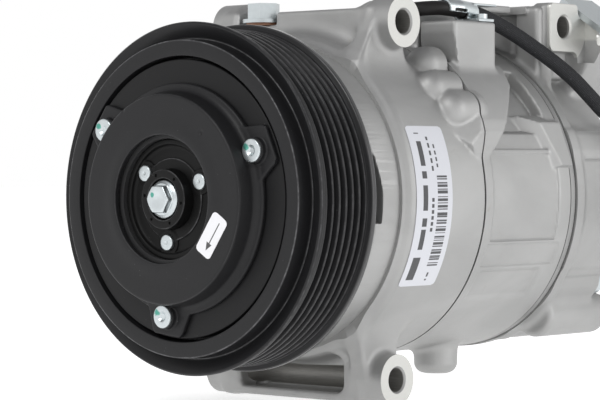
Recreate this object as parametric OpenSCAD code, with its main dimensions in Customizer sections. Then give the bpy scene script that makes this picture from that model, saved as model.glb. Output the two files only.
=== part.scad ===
// Variable-displacement swash-plate compressor for car air conditioning, with a
// magnetic clutch. Millimetres. The shaft lies along Y, the clutch faces -Y, +Z is
// up, and the origin is on the shaft axis in the middle plane of the belt grooves.

/* [Compressor body] */
// Outside diameter of the cast body
body_d = 121; // [100:1:150]
// Length of the front housing, from its clutch face to the cylinder block
housing_len = 61.8; // [55:0.2:80]
// Length of the cylinder block
block_len = 54.7; // [45:0.1:70]
// Length of the rear head
head_len = 47; // [40:1:60]
// Wall between the crankcase and the outside of the body
wall = 10.5; // [10:0.5:12]
// Thickness of the valve plate
valve_plate_t = 2.7; // [1.8:0.1:4]
// Thickness of each gasket and reed sheet
gasket_t = 0.4; // [0.3:0.1:0.8]

/* [Mounting ears] */
// Radius of the round ear bosses
ear_r = 9.4; // [8.5:0.1:12]
// Diameter of the holes for the mounting bolts
ear_hole_d = 8.8; // [7:0.1:10]
// Length of each ear bar, from face to face
ear_span = 87; // [80:1:110]
// Height of the upper ear holes above the side of the body
ear_top_rise = 4; // [3:0.5:8]
// Depth of the lower ear holes below the side of the body
ear_low_drop = 5.9; // [5:0.1:9]
// Height of the rear ear hole above the side of the body
ear_rear_rise = 6; // [4:0.5:9]

/* [Pulley] */
// Outside diameter of the pulley flanges
pulley_d = 126.4; // [122:0.2:160]
// Diameter over the belt ribs
rib_d = 122.5; // [118:0.5:122.5]
// Number of belt grooves
groove_count = 6; // [4:1:6]
// Distance from groove to groove
groove_pitch = 3.56; // [3.4:0.02:3.7]
// Depth of a belt groove
groove_depth = 2.9; // [2:0.1:3.2]
// Inside diameter of the clutch bearing
bearing_id = 40; // [38:1:42]
// Outside diameter of the clutch bearing
bearing_od = 57; // [55:0.5:59]
// Width of the clutch bearing
bearing_w = 24; // [20:1:24]

/* [Clutch] */
// Outside diameter of the armature plate
armature_d = 99.4; // [92:0.2:99.4]
// Thickness of the armature plate
armature_t = 4.8; // [4:0.1:5.2]
// Air gap between the armature plate and the pulley
air_gap = 0.4; // [0.3:0.05:0.6]
// Outside diameter of the domed damper cover
dome_d = 76.6; // [70:0.2:80]
// Diameter of the well in the damper cover
well_d = 45.4; // [42:0.2:50]
// Sheet thickness of the damper cover
cover_t = 2; // [1.5:0.1:2.5]
// Pitch circle diameter of the three large rivets
big_rivet_pcd = 84; // [80:1:86]
// Pitch circle diameter of the three small rivets
small_rivet_pcd = 31; // [29:0.5:33]

/* [Pump] */
// Number of pistons
piston_count = 6; // [5:1:6]
// Diameter of each piston
piston_d = 29; // [24:0.5:29]
// Diameter of the drive shaft at its bearings
shaft_d = 15; // [13:0.5:16]
// Thickness of the swash plate
swash_t = 8; // [7:0.5:9]

/* [Fits] */
// Radial clearance of a running fit
run_gap = 0.05; // [0.02:0.01:0.08]
// Radial clearance round a bolt or screw
bolt_gap = 0.3; // [0.2:0.05:0.5]
// Gap kept between curved faces of different bodies
body_gap = 0.4; // [0.3:0.1:0.6]

/* [Hidden] */

$fn = 96;
cast_grey = [0.72, 0.72, 0.71];
zinc = [0.8, 0.83, 0.86];
steel = [0.6, 0.61, 0.63];
black = [0.1, 0.1, 0.11];

// Body stations along the shaft
body_r = body_d / 2;
cavity_r = body_r - wall;
pulley_half_w = groove_count * groove_pitch / 2 + 3.3;
housing_y0 = pulley_half_w + 4.6;
block_y0 = housing_y0 + housing_len;
stack_y0 = block_y0 + block_len;
plate_y0 = stack_y0 + gasket_t;
plate_y1 = plate_y0 + valve_plate_t;
head_y0 = plate_y1 + gasket_t;
head_y1 = head_y0 + head_len;
step_y = housing_y0 + 16.4;
step_r = body_r - 4;

// Ears
ear_hole_r = ear_hole_d / 2;
ear_half = ear_span / 2;
ear_top_y = housing_y0 + 34.8;
ear_low_y = housing_y0 + 31;
ear_rear_y = head_y0 + 13.9;
ear_top_z = body_r + ear_top_rise;
ear_low_z = -body_r - ear_low_drop;
ear_rear_z = body_r + ear_rear_rise;
ear_pad_t = 1.5;
ear_neck = 9;
bar_half_w = 8.2;
bar_rise = 5.3;
near_bore_len = 30;
far_bore_len = 12;

// Through bolts
bolt_count = 6;
bolt_phase = 20;
bolt_r = 3;
bolt_pitch_r = body_r - 6.2;
bolt_head_r = 4.9;
bolt_head_h = 6;
bolt_seat_y = head_y1 - 14;
bolt_tip_y = block_y0 - 18;

// Pistons at the smallest stroke, with the swash plate square to the shaft
piston_r = piston_d / 2;
piston_pitch_r = cavity_r - piston_r - 0.5;
piston_phase = bolt_phase + 180 / piston_count;
swash_y0 = block_y0 - 13.9;
swash_mid = swash_y0 + swash_t / 2;
shoe_r = 9;
shoe_face_r = sqrt(pow(shoe_r, 2) - pow(swash_t / 2, 2));
swash_r = piston_pitch_r + shoe_face_r + 0.9;
holder_t = 5;
holder_w = 16;
bridge_r = cavity_r - 0.7;
piston_y0 = swash_y0 + swash_t + holder_t;
piston_y1 = stack_y0 - 0.7;

// Shaft line
shaft_r = shaft_d / 2;
spline_r = shaft_r - 1.7;
needle_r = shaft_r + 3.5;
nose_r = bearing_id / 2;
seal_r = 15;
thrust_y0 = block_y0 - 39.4;
thrust_t = 4;
lug_y0 = thrust_y0 + thrust_t;
lug_t = 8;
hinge_z = 20;
hinge_pin_r = 3;
hinge_y = swash_y0 - 6;
front_needle_y0 = housing_y0 + 5;
front_needle_len = 15;
rear_needle_y0 = block_y0 + 16;
rear_needle_len = 16;
seal_y0 = housing_y0 - 10;
seal_len = 11;
shaft_y1 = rear_needle_y0 + rear_needle_len;

// Pulley and its bearing
pulley_r = pulley_d / 2;
rib_r = rib_d / 2;
groove_r = rib_r - groove_depth;
rim_wall = 3.6;
rim_in_r = groove_r - rim_wall;
bearing_y0 = -11;
bearing_y1 = bearing_y0 + bearing_w;
race_t = 2.6;
ball_r = (bearing_od - bearing_id) / 4 - race_t / 2 + 0.55;
ball_pitch_r = (bearing_od + bearing_id) / 4;
ball_count = 14;
bearing_mid = bearing_y0 + bearing_w / 2;
friction_y = -pulley_half_w + 0.2;
hub_wall = 5;
lip_front = friction_y - 6.1;
armature_r = armature_d / 2;
lip_in_r = armature_r + 1.1;
lip_out_r = lip_in_r + 5.8;

// Clutch stations
armature_y1 = friction_y - air_gap;
armature_y0 = armature_y1 - armature_t;
cover_y0 = armature_y0 - cover_t;
rivet_seat_y = cover_y0 + 0.15;
dome_y = cover_y0 - 8;
dome_r = dome_d / 2;
well_r = well_d / 2;
rubber_in_r = well_r - 1.2;
rubber_out_r = dome_r - cover_t - 1.6;
rivet_phase = 24;
big_rivet_r = 2.6;
big_head_r = 4.4;
small_rivet_r = 1.6;
plate_floor_y = armature_y0 - 4.6;
hub_flange_r = 19.5;
hub_boss_r = 10.6;
hub_boss_y = armature_y0 - 9.1;
bolt_seat_depth = 2.6;
shim_t = 0.5;
shaft_y0 = hub_boss_y + 7;
hub_stop_y = armature_y0 + 6.5;
nose_y0 = bearing_y0 - 2.6;

// Coil
coil_in_r = bearing_od / 2 + hub_wall + 1.5;
coil_out_r = rim_in_r - 1.2;
coil_y0 = friction_y + 6.4;
coil_plate_t = 2;
coil_plate_y = housing_y0 - coil_plate_t;

// Rear head
port_tilt = 33;
port_face_r = body_r + 23;
port_y = head_y0 + 34;
tube_r = 9;
tube_x = body_r - 24.5;
tube_z = -body_r + 13.5;

// Oil plug in the upper bar
plug_x = -21;
plug_y = ear_top_y - 5;
plug_seat_z = ear_top_z + 0.5;
plug_washer_t = 1;

// Clip for the lead, on its pad
clip_x = body_r - 18.9;
clip_y = block_y0 + 22.3;
clip_len = 9.4;
clip_screw_r = 1.6;
pad_x0 = body_r - 31.5;
pad_x1 = body_r - 15.5;
pad_z = body_r + 6;
strap_t = 1.2;
held_x = pad_x0 + 6;
held_z = body_r + 10.5;

// Lead connector on its bracket, with the bracket screw's place
bracket_t = 1.7;
bracket_x = body_r - 0.5;
bracket_y = bolt_seat_y + 3;
bracket_z = -8;
bracket_screw_r = 2.45;
connector_x = bracket_x + bracket_t + 0.3;
connector_y = bolt_seat_y + 10.4;
bracket_end = connector_y + 14;

// Lead of the clutch coil: chosen points along its middle line
lead_d = 6;
lead_sides = 10;
gland_angle = 140;
lead_route = [
    [-44.5, 19, 37.3], [-48, 19.3, 40.3], [-51.2, 22, 42.8], [-52.6, 28, 43.8], [-52.6, 37, 44],
    [-52, 48, 44.4], [-51, 58, 45.4], [-48.5, 67, 48.6], [-43, 73, 54.4], [-34.5, 76, 61],
    [-24, 77, 65.2], [-12, 77.3, 68], [2, 77.3, 69.6], [15, 77.8, 70.3], [26, 80.6, 70.9],
    [32.6, 87, 71], [35, 96, 71], [35, 103, 71], [35.7, 110, 70.3], [37.9, 119, 66.6],
    [40.4, 126, 62.6], [43, 132.2, 58.8], [46, 138.6, 54.5], [48.8, 144.6, 50.1], [51.6, 150, 45.4],
    [54.4, 156, 39.4], [57.2, 162.4, 33], [60.4, 169, 27.2], [63.6, 175.6, 22], [66.4, 181.6, 17],
    [68.3, 186.6, 12.6], [68.8, 189.3, 8], [68.8, 189.5, 4]
];
steps_a_span = 2;

function spline_point(a, b, c, d, t) =
    0.5 * ((2 * b) + (c - a) * t + (2 * a - 5 * b + 4 * c - d) * t * t
    + (3 * b - a - 3 * c + d) * t * t * t);
function along(points, n) = [
    for (i = [0 : len(points) - 2], k = [0 : n - 1])
        spline_point(points[max(i - 1, 0)], points[i], points[i + 1],
            points[min(i + 2, len(points) - 1)], k / n),
    points[len(points) - 1]
];
function unit(v) = v / norm(v);
function heading(p, i) = unit(p[min(i + 1, len(p) - 1)] - p[max(i - 1, 0)]);
function ring_at(centre, dir, r, n) =
    let (side = unit(cross(dir, [1, -1, 1])), up = cross(side, dir))
    [for (k = [0 : n - 1]) centre + r * (cos(360 * k / n) * side + sin(360 * k / n) * up)];

// Closed tube of n sides along a list of points
module swept_tube(p, r, n) {
    last = len(p) - 1;
    rings = [for (i = [0 : last]) each ring_at(p[i], heading(p, i), r, n)];
    sides = [
        for (i = [0 : last - 1], k = [0 : n - 1])
            [i * n + k, i * n + (k + 1) % n, (i + 1) * n + (k + 1) % n, (i + 1) * n + k]
    ];
    first_cap = [for (k = [n - 1 : -1 : 0]) k];
    last_cap = [for (k = [0 : n - 1]) last * n + k];
    polyhedron(rings, concat([first_cap], sides, [last_cap]), convexity = 8);
}

// Rods and tubes along the shaft, given by their ends
module rod_y(r, y0, y1) translate([0, y0, 0]) rotate([-90, 0, 0]) cylinder(r = r, h = y1 - y0);
module cone_y(r0, r1, y0, y1)
    translate([0, y0, 0]) rotate([-90, 0, 0]) cylinder(r1 = r0, r2 = r1, h = y1 - y0);
module tube_y(r_out, r_in, y0, y1) {
    difference() {
        rod_y(r_out, y0, y1);
        rod_y(r_in, y0 - 1, y1 + 1);
    }
}
module rod_x(r, x0, x1, y, z) translate([x0, y, z]) rotate([0, 90, 0]) cylinder(r = r, h = x1 - x0);
// Turned profile of [radius, station] points
module turned(points) rotate([-90, 0, 0]) rotate_extrude() polygon(points);
// Copies on a circle about the shaft, the first at an angle from +X towards +Z
module on_circle(count, r, phase) {
    for (i = [0 : count - 1])
        rotate([0, -phase - 360 * i / count, 0]) translate([r, 0, 0]) children();
}
// Block between two corners
module block(low, high) translate(low) cube(high - low);
// Slice of a turned shape between two angles
module sector(a0, a1, y0, y1, r) {
    translate([0, y0, 0]) rotate([-90, 0, 0]) linear_extrude(y1 - y0)
        polygon([[0, 0], for (k = [0 : 4]) let (a = a0 + (a1 - a0) * k / 4) [r * cos(a), -r * sin(a)]]);
}
// Shallow panel in the side of the body
module panel(a0, a1, y0, y1, depth) {
    difference() {
        sector(a0, a1, y0, y1, body_r * 1.3);
        rod_y(body_r - depth, y0 - 1, y1 + 1);
    }
}

// Stepped hole for a through bolt and its head
module bolt_pockets(y0, seat_y, y1) {
    on_circle(bolt_count, bolt_pitch_r, bolt_phase) turned([
        [0, y0], [bolt_r + bolt_gap, y0], [bolt_r + bolt_gap, seat_y],
        [bolt_head_r + 0.8, seat_y], [bolt_head_r + 0.8, y1], [0, y1]
    ]);
}
module bolt_holes(r, y0, y1) on_circle(bolt_count, bolt_pitch_r, bolt_phase) rod_y(r, y0, y1);
module piston_bores(r, y0, y1) on_circle(piston_count, piston_pitch_r, piston_phase) rod_y(r, y0, y1);

// Ear bar across the body: round bosses at its ends and a web between two heights
module ear_bar(y, z, low_z, high_z) {
    rod_x(ear_r, ear_half - ear_neck, ear_half, y, z);
    rod_x(ear_r, -ear_half, ear_neck - ear_half, y, z);
    block([-ear_half + 4, y - bar_half_w, low_z], [ear_half - 7, y + bar_half_w, high_z]);
}

module front_housing() {
    gland_notch = [[coil_in_r, housing_y0 - 5, -5.4], [body_r, housing_y0 + 4.2, 5.4]];
    color(cast_grey) difference() {
        union() {
            turned([
                [0, nose_y0], [nose_r, nose_y0], [nose_r, bearing_y1], [nose_r + 1.5, bearing_y1],
                [nose_r + 1.5, housing_y0], [step_r - 9, housing_y0], [step_r - 3, housing_y0 + 2],
                [step_r, housing_y0 + 6], [step_r, step_y], [body_r, step_y + 4],
                [body_r, block_y0 - gasket_t / 2], [0, block_y0 - gasket_t / 2]
            ]);
            ear_bar(ear_top_y, ear_top_z, body_r - 8, ear_top_z + bar_rise);
            ear_bar(ear_low_y, ear_low_z, ear_low_z - ear_r + 1, -body_r + 8);
            // Webs that carry the ends of the bars
            for (side = [-1, 1]) {
                translate([side * (ear_half - 12.5), 0, 0])
                    block([-4.5, ear_top_y - 8, 30], [4.5, ear_top_y + 8, ear_top_z]);
                translate([side * (ear_half - 12.5), 0, 0])
                    block([-4.5, ear_low_y - 8, ear_low_z], [4.5, ear_low_y + 8, -30]);
            }
            // Cast lobes beside the upper ear
            for (a = [51, 42, 33]) rotate([0, -a, 0]) translate([body_r - 5, 0, 0]) {
                rod_y(8, block_y0 - 16, block_y0 - gasket_t / 2);
                translate([0, block_y0 - 16, 0]) sphere(8);
            }
        }
        // Crankcase
        rod_y(cavity_r, thrust_y0, block_y0 + 1);
        // Bore for the seal, its snap ring and the needle bearing
        rod_y(needle_r, front_needle_y0, thrust_y0 + 1);
        rod_y(shaft_r + 1.5, seal_y0, front_needle_y0 + 1);
        rod_y(seal_r, nose_y0 - 1, seal_y0 + seal_len);
        rod_y(seal_r + 1.2, seal_y0 - 2, seal_y0 - 0.6);
        // Groove for the bearing's snap ring, and for the coil's
        tube_y(nose_r + 5, nose_r - 1, bearing_y0 - 1.7, bearing_y0);
        tube_y(nose_r + 5, nose_r + 0.5, coil_plate_y - 1.4, coil_plate_y);
        // Holes
        bolt_holes(bolt_r + run_gap, bolt_tip_y - 6, block_y0 + 1);
        rod_x(ear_hole_r, ear_half - near_bore_len, ear_half + 1, ear_top_y, ear_top_z);
        rod_x(ear_hole_r, -ear_half - 1, far_bore_len - ear_half, ear_top_y, ear_top_z);
        rod_x(ear_hole_r, -ear_half - 1, ear_half + 1, ear_low_y, ear_low_z);
        // Pocket in the front of the lower bar
        block([-ear_half + 15, ear_low_y - 12, ear_low_z - 5.6], [ear_half - 18, ear_low_y - 5, -body_r + 4]);
        // Spot face and hole for the oil plug
        translate([plug_x, plug_y, plug_seat_z]) cylinder(r = 9.5, h = 12);
        translate([plug_x, plug_y, plug_seat_z - 6.5]) cylinder(r = 3, h = 20);
        // Notch for the coil's gland
        rotate([0, -gland_angle, 0]) block(gland_notch[0], gland_notch[1]);
    }
}

module cylinder_block() {
    y0 = block_y0 + gasket_t / 2;
    color(cast_grey) difference() {
        union() {
            rod_y(body_r, y0, stack_y0);
            // Rail along the top and the pad for the lead's clip
            block([11, y0 + 6, 30], [26, stack_y0, body_r + 11]);
            block([pad_x0, y0 + 4, 36], [pad_x1, y0 + 29, pad_z]);
            for (a = [51, 42, 33]) rotate([0, -a, 0]) translate([body_r - 5, 0, 0]) {
                rod_y(8, y0, y0 + 10);
                translate([0, y0 + 10, 0]) sphere(8);
            }
            // Fairing over a through bolt
            rotate([0, -bolt_phase, 0]) translate([bolt_pitch_r, 0, 0]) cone_y(2, 8, stack_y0 - 15, stack_y0);
            // Foot under the block
            translate([12, block_y0 + 32, -body_r - 9]) cylinder(r = 8.3, h = 20);
        }
        piston_bores(piston_r + run_gap, y0 - 1, stack_y0 + 1);
        bolt_holes(bolt_r + bolt_gap, y0 - 1, stack_y0 + 1);
        rod_y(needle_r, y0 - 1, shaft_y1 + 3);
        // Pocket in the rail
        block([16, stack_y0 - 28, body_r + 2], [28, stack_y0 - 10, body_r + 7]);
        translate([clip_x, clip_y, body_r - 6]) cylinder(r = clip_screw_r + run_gap, h = 20);
        // Panels in both sides
        for (side = [0, 1]) mirror([side, 0, 0]) {
            panel(-15, 16, y0 + 6, stack_y0 - 9, 1);
            panel(-26, -17, y0 + 6, stack_y0 - 9, 0.8);
            panel(-40, -28, y0 + 6, stack_y0 - 9, 1.3);
        }
    }
}

module rear_head() {
    cover_y = head_y0 + 29;
    color(cast_grey) difference() {
        union() {
            turned([
                [0, head_y0], [body_r, head_y0], [body_r, head_y0 + 5], [body_r - 2.5, head_y0 + 7],
                [body_r - 2.5, bolt_seat_y - 1], [body_r - 4, bolt_seat_y + 0.8], [44, bolt_seat_y + 0.8],
                [42, head_y1 - 3], [39, head_y1], [0, head_y1]
            ]);
            // Raised flank on the visible side, bolt columns and the lower tube
            intersection() {
                rod_y(body_r, head_y0, bolt_seat_y - 2);
                block([30, head_y0, -28], [body_r, bolt_seat_y - 2, 25]);
            }
            translate([tube_x, 0, tube_z]) rod_y(tube_r, head_y0, head_y1 - 2);
            // Rear ear with its pad and webs
            block([-ear_half, ear_rear_y - 8, body_r - 8], [ear_half, ear_rear_y + 8, ear_rear_z + 7]);
            block([ear_half - 2, ear_rear_y - ear_r, ear_rear_z - ear_r - 0.5],
                [ear_half + ear_pad_t, ear_rear_y + ear_r, ear_rear_z + ear_r]);
            for (side = [-1, 1]) translate([side * (ear_half - 14), 0, 0])
                block([-4.5, ear_rear_y - 8, 30], [4.5, ear_rear_y + 8, ear_rear_z]);
            // Port block under the cover plate
            rotate([0, port_tilt, 0]) block([-13, head_y0 + 24, 40], [13, head_y1 - 1, port_face_r]);
            // Boss for the connector's bracket
            rod_x(7, 40, bracket_x, bracket_y, bracket_z);
        }
        // Suction and discharge chambers
        tube_y(cavity_r - 2, 27, head_y0 - 1, head_y0 + 20);
        rod_y(23, head_y0 - 1, head_y0 + 14);
        bolt_pockets(head_y0 - 1, bolt_seat_y, head_y1 + 9);
        rod_x(ear_hole_r, -ear_half - 1, ear_half + ear_pad_t + 1, ear_rear_y, ear_rear_z);
        // Ports, their cover bolt, the valves and the bracket screw
        rotate([0, port_tilt, 0]) {
            for (p = [[-2, 8.2, head_y1 - 13], [-2, 6.2, cover_y + 3.4]])
                translate([p[0], p[2], port_face_r - 14]) cylinder(r = p[1] * 0.9, h = 20);
            translate([8.6, port_y + 1, port_face_r - 12]) cylinder(r = 3, h = 20);
        }
        rod_y(8.2, head_y1 - 26, head_y1 + 1);
        translate([-24, 0, 18]) rod_y(5.6, head_y1 - 12, head_y1 + 1);
        rod_x(bracket_screw_r + run_gap, bracket_x - 11.5, bracket_x + 1.5, bracket_y, bracket_z);
    }
}

module crankcase_gasket() {
    color(black) difference() {
        tube_y(body_r - 0.2, cavity_r + 0.2, block_y0 - gasket_t / 2, block_y0 + gasket_t / 2);
        bolt_holes(bolt_r + bolt_gap, block_y0 - 1, block_y0 + 1);
    }
}

module reed_cut(w, len, y0, y1) {
    // Slot round a reed finger that points outwards
    difference() {
        translate([-len, y0, -w / 2 - 0.8]) cube([len, y1 - y0, w + 1.6]);
        translate([-len - 1, y0 - 1, -w / 2]) cube([len - 0.6, y1 - y0 + 2, w]);
    }
}
module suction_reed_sheet() {
    color(steel) difference() {
        rod_y(body_r - 0.2, stack_y0, plate_y0);
        bolt_holes(bolt_r + bolt_gap, stack_y0 - 1, plate_y0 + 1);
        on_circle(piston_count, piston_pitch_r + 9, piston_phase)
            reed_cut(9, 24, stack_y0 - 1, plate_y0 + 1);
        on_circle(piston_count, 17, piston_phase) rod_y(3.5, stack_y0 - 1, plate_y0 + 1);
    }
}
module valve_plate() {
    color(steel) difference() {
        rod_y(body_r - 0.1, plate_y0, plate_y1);
        bolt_holes(bolt_r + bolt_gap, plate_y0 - 1, plate_y1 + 1);
        on_circle(piston_count, piston_pitch_r + 3, piston_phase) rod_y(3.8, plate_y0 - 1, plate_y1 + 1);
        on_circle(piston_count, 17, piston_phase) rod_y(3, plate_y0 - 1, plate_y1 + 1);
    }
}
module discharge_reed_sheet() {
    color(steel) difference() {
        union() {
            rod_y(13, plate_y1, plate_y1 + gasket_t);
            on_circle(piston_count, 0, piston_phase)
                block([0, plate_y1, -3.6], [21, plate_y1 + gasket_t, 3.6]);
        }
        rod_y(3, plate_y1 - 1, plate_y1 + 1);
    }
}
module reed_retainer() {
    color(steel) difference() {
        cone_y(16, 21, plate_y1 + gasket_t, plate_y1 + gasket_t + 2.4);
        rod_y(3, plate_y1, plate_y1 + 4);
    }
}
module head_gasket() {
    color(black) difference() {
        rod_y(body_r - 0.2, plate_y1, head_y0);
        tube_y(cavity_r - 2, 27, plate_y1 - 1, head_y0 + 1);
        rod_y(23, plate_y1 - 1, head_y0 + 1);
        bolt_holes(bolt_r + bolt_gap, plate_y1 - 1, head_y0 + 1);
    }
}

module through_bolts() {
    color(zinc) on_circle(bolt_count, bolt_pitch_r, bolt_phase) {
        rod_y(bolt_r, bolt_tip_y, bolt_seat_y + 1);
        difference() {
            rod_y(bolt_head_r, bolt_seat_y, bolt_seat_y + bolt_head_h);
            translate([0, bolt_seat_y + 3, 0]) rotate([-90, 0, 0]) cylinder(r = 2.9, h = 4, $fn = 6);
        }
    }
}

module pistons() {
    color(cast_grey) on_circle(piston_count, piston_pitch_r, piston_phase) difference() {
        union() {
            rod_y(piston_r, piston_y0, piston_y1);
            // Bridge over the rim of the swash plate
            intersection() {
                translate([-piston_pitch_r, 0, 0])
                    rod_y(bridge_r, swash_y0 - holder_t, piston_y0 + 1);
                block([-8, swash_y0 - holder_t, -holder_w / 2], [20, piston_y0 + 1, holder_w / 2]);
            }
        }
        // Slot for the swash plate, and the two shoe pockets
        translate([-piston_pitch_r, 0, 0]) rod_y(swash_r + 0.8, swash_y0 - 0.8, swash_y0 + swash_t + 0.8);
        translate([0, swash_mid, 0]) sphere(shoe_r + run_gap);
        for (k = [1, 2]) tube_y(piston_r + 1, piston_r - 0.8, piston_y1 - 5 * k, piston_y1 - 5 * k + 1.6);
    }
}
module piston_shoes() {
    color(steel) on_circle(piston_count, piston_pitch_r, piston_phase) difference() {
        translate([0, swash_mid, 0]) sphere(shoe_r);
        block([-20, swash_y0 - run_gap, -20], [20, swash_y0 + swash_t + run_gap, 20]);
        rod_y(2.2, swash_mid - 20, swash_y0 - 3.6);
        rod_y(2.2, swash_y0 + swash_t + 3.6, swash_mid + 20);
    }
}

module drive_shaft() {
    flat_r = spline_r - 0.9;
    color(steel) difference() {
        union() {
            rod_y(shaft_r, hub_stop_y, shaft_y1);
            rod_y(flat_r, shaft_y0, hub_stop_y);
            for (k = [0 : 11]) rotate([0, 30 * k, 0])
                block([0, shaft_y0 + 1, -0.9], [spline_r - 0.1, hub_stop_y, 0.9]);
        }
        rod_y(2.5, shaft_y0 - 1, shaft_y0 + 20);
    }
}
module lug_plate() {
    color(steel) difference() {
        union() {
            rod_y(cavity_r - 12, lug_y0, lug_y0 + lug_t);
            for (side = [-1, 1]) translate([side * 7.6, 0, 0]) {
                block([-2.2, lug_y0 + 2, hinge_z - 4], [2.2, hinge_y, hinge_z + 4]);
                rod_x(4, -2.2, 2.2, hinge_y, hinge_z);
            }
        }
        rod_y(shaft_r, lug_y0 - 1, hinge_y + 9);
        rod_x(hinge_pin_r, -12, 12, hinge_y, hinge_z);
    }
}
module hinge_pin() {
    color(steel) rod_x(hinge_pin_r, -9.8, 9.8, hinge_y, hinge_z);
}
module swash_plate() {
    color(steel) difference() {
        union() {
            rod_y(swash_r, swash_y0, swash_y0 + swash_t);
            block([-5.2, hinge_y, hinge_z - 4], [5.2, swash_y0 + 1, hinge_z + 4]);
            rod_x(4, -5.2, 5.2, hinge_y, hinge_z);
        }
        rod_y(shaft_r + run_gap, swash_y0 - 1, swash_y0 + swash_t + 1);
        rod_x(hinge_pin_r + run_gap, -6, 6, hinge_y, hinge_z);
    }
}
module return_spring() {
    turns = 4;
    wire_r = 0.9;
    coil_r = shaft_r + 1.6;
    y0 = lug_y0 + lug_t + wire_r;
    y1 = swash_y0 - wire_r;
    per_turn = 16;
    helix = [
        for (i = [0 : turns * per_turn]) let (a = 360 * i / per_turn)
            [coil_r * cos(a), y0 + (y1 - y0) * i / (turns * per_turn), coil_r * sin(a)]
    ];
    last = len(helix) - 1;
    n = 8;
    // Rings stand on the radius and the shaft direction, so the wire never twists
    rings = [
        for (p = helix) let (out = unit([p[0], 0, p[2]])) for (k = [0 : n - 1])
            p + wire_r * (cos(360 * k / n) * out + sin(360 * k / n) * [0, 1, 0])
    ];
    sides = [
        for (i = [0 : last - 1], k = [0 : n - 1])
            [i * n + k, i * n + (k + 1) % n, (i + 1) * n + (k + 1) % n, (i + 1) * n + k]
    ];
    color(steel) polyhedron(rings, concat([[for (k = [n - 1 : -1 : 0]) k]], sides,
        [[for (k = [0 : n - 1]) last * n + k]]), convexity = 8);
}
module thrust_bearing() {
    color(steel) tube_y(27, shaft_r + 3, thrust_y0, lug_y0 - 0.05);
}
module front_needle_bearing() {
    color(steel) tube_y(needle_r, shaft_r + run_gap, front_needle_y0, front_needle_y0 + front_needle_len);
}
module rear_needle_bearing() {
    color(steel) tube_y(needle_r, shaft_r + run_gap, rear_needle_y0, rear_needle_y0 + rear_needle_len);
}
module shaft_seal() {
    color(black) tube_y(seal_r, shaft_r + run_gap, seal_y0, seal_y0 + seal_len);
}
module seal_snap_ring() {
    color(steel) difference() {
        tube_y(seal_r + 1.1, seal_r - 2, seal_y0 - 1.9, seal_y0 - 0.7);
        block([-1.6, seal_y0 - 3, 0], [1.6, seal_y0, 30]);
    }
}
module control_valve() {
    color(zinc) {
        rod_y(8.1, head_y1 - 25, head_y1 + 1.5);
        rod_y(5, head_y1 + 1, head_y1 + 4);
    }
}
module relief_valve() {
    color(zinc) translate([-24, 0, 18]) {
        rod_y(5.5, head_y1 - 11, head_y1);
        translate([0, head_y1, 0]) rotate([-90, 0, 0]) cylinder(r = 6.3, h = 5, $fn = 6);
    }
}

module coil_cup() {
    color(black) {
        tube_y(coil_out_r, coil_out_r - 2.5, coil_y0, coil_plate_y + 0.5);
        tube_y(coil_in_r + 2.5, coil_in_r, coil_y0, coil_plate_y + 0.5);
        difference() {
            tube_y(coil_out_r, nose_r + 1.6, coil_plate_y, coil_plate_y + coil_plate_t);
            rotate([0, -gland_angle, 0]) block([coil_in_r + 4, coil_plate_y - 1, -5.2],
                [coil_out_r + 1, housing_y0 + 1, 5.2]);
        }
    }
}
module coil_winding() {
    color([0.25, 0.1, 0.05]) tube_y(coil_out_r - 2.55, coil_in_r + 2.55, coil_y0 + 0.6, coil_plate_y);
}
module coil_snap_ring() {
    color(zinc) difference() {
        tube_y(nose_r + 3.6, nose_r + 0.6, coil_plate_y - 1.3, coil_plate_y);
        block([-2, coil_plate_y - 3, 0], [2, coil_plate_y + 1, 40]);
    }
}
module race_groove() {
    turned([for (k = [0 : 35]) [ball_pitch_r + (ball_r + 0.06) * cos(10 * k),
        bearing_mid + (ball_r + 0.06) * sin(10 * k)]]);
}
module bearing_inner_race() {
    color(steel) difference() {
        tube_y(nose_r + race_t, nose_r, bearing_y0, bearing_y1);
        race_groove();
    }
}
module bearing_outer_race() {
    color(steel) difference() {
        tube_y(bearing_od / 2, bearing_od / 2 - race_t, bearing_y0, bearing_y1);
        race_groove();
    }
}
module bearing_balls() {
    color(zinc) on_circle(ball_count, ball_pitch_r, 0) translate([0, bearing_mid, 0]) sphere(ball_r);
}
module ball_cage() {
    color([0.75, 0.6, 0.3]) difference() {
        tube_y(ball_pitch_r + 0.9, ball_pitch_r - 0.9, bearing_mid - 5, bearing_mid + 5);
        on_circle(ball_count, ball_pitch_r, 0) translate([0, bearing_mid, 0]) sphere(ball_r + 0.05);
    }
}
module bearing_snap_ring() {
    color(steel) difference() {
        tube_y(nose_r + 2.2, nose_r - 0.9, bearing_y0 - 1.5, bearing_y0 - 0.1);
        block([-2, bearing_y0 - 3, 0], [2, bearing_y0 + 1, 40]);
    }
}

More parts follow.
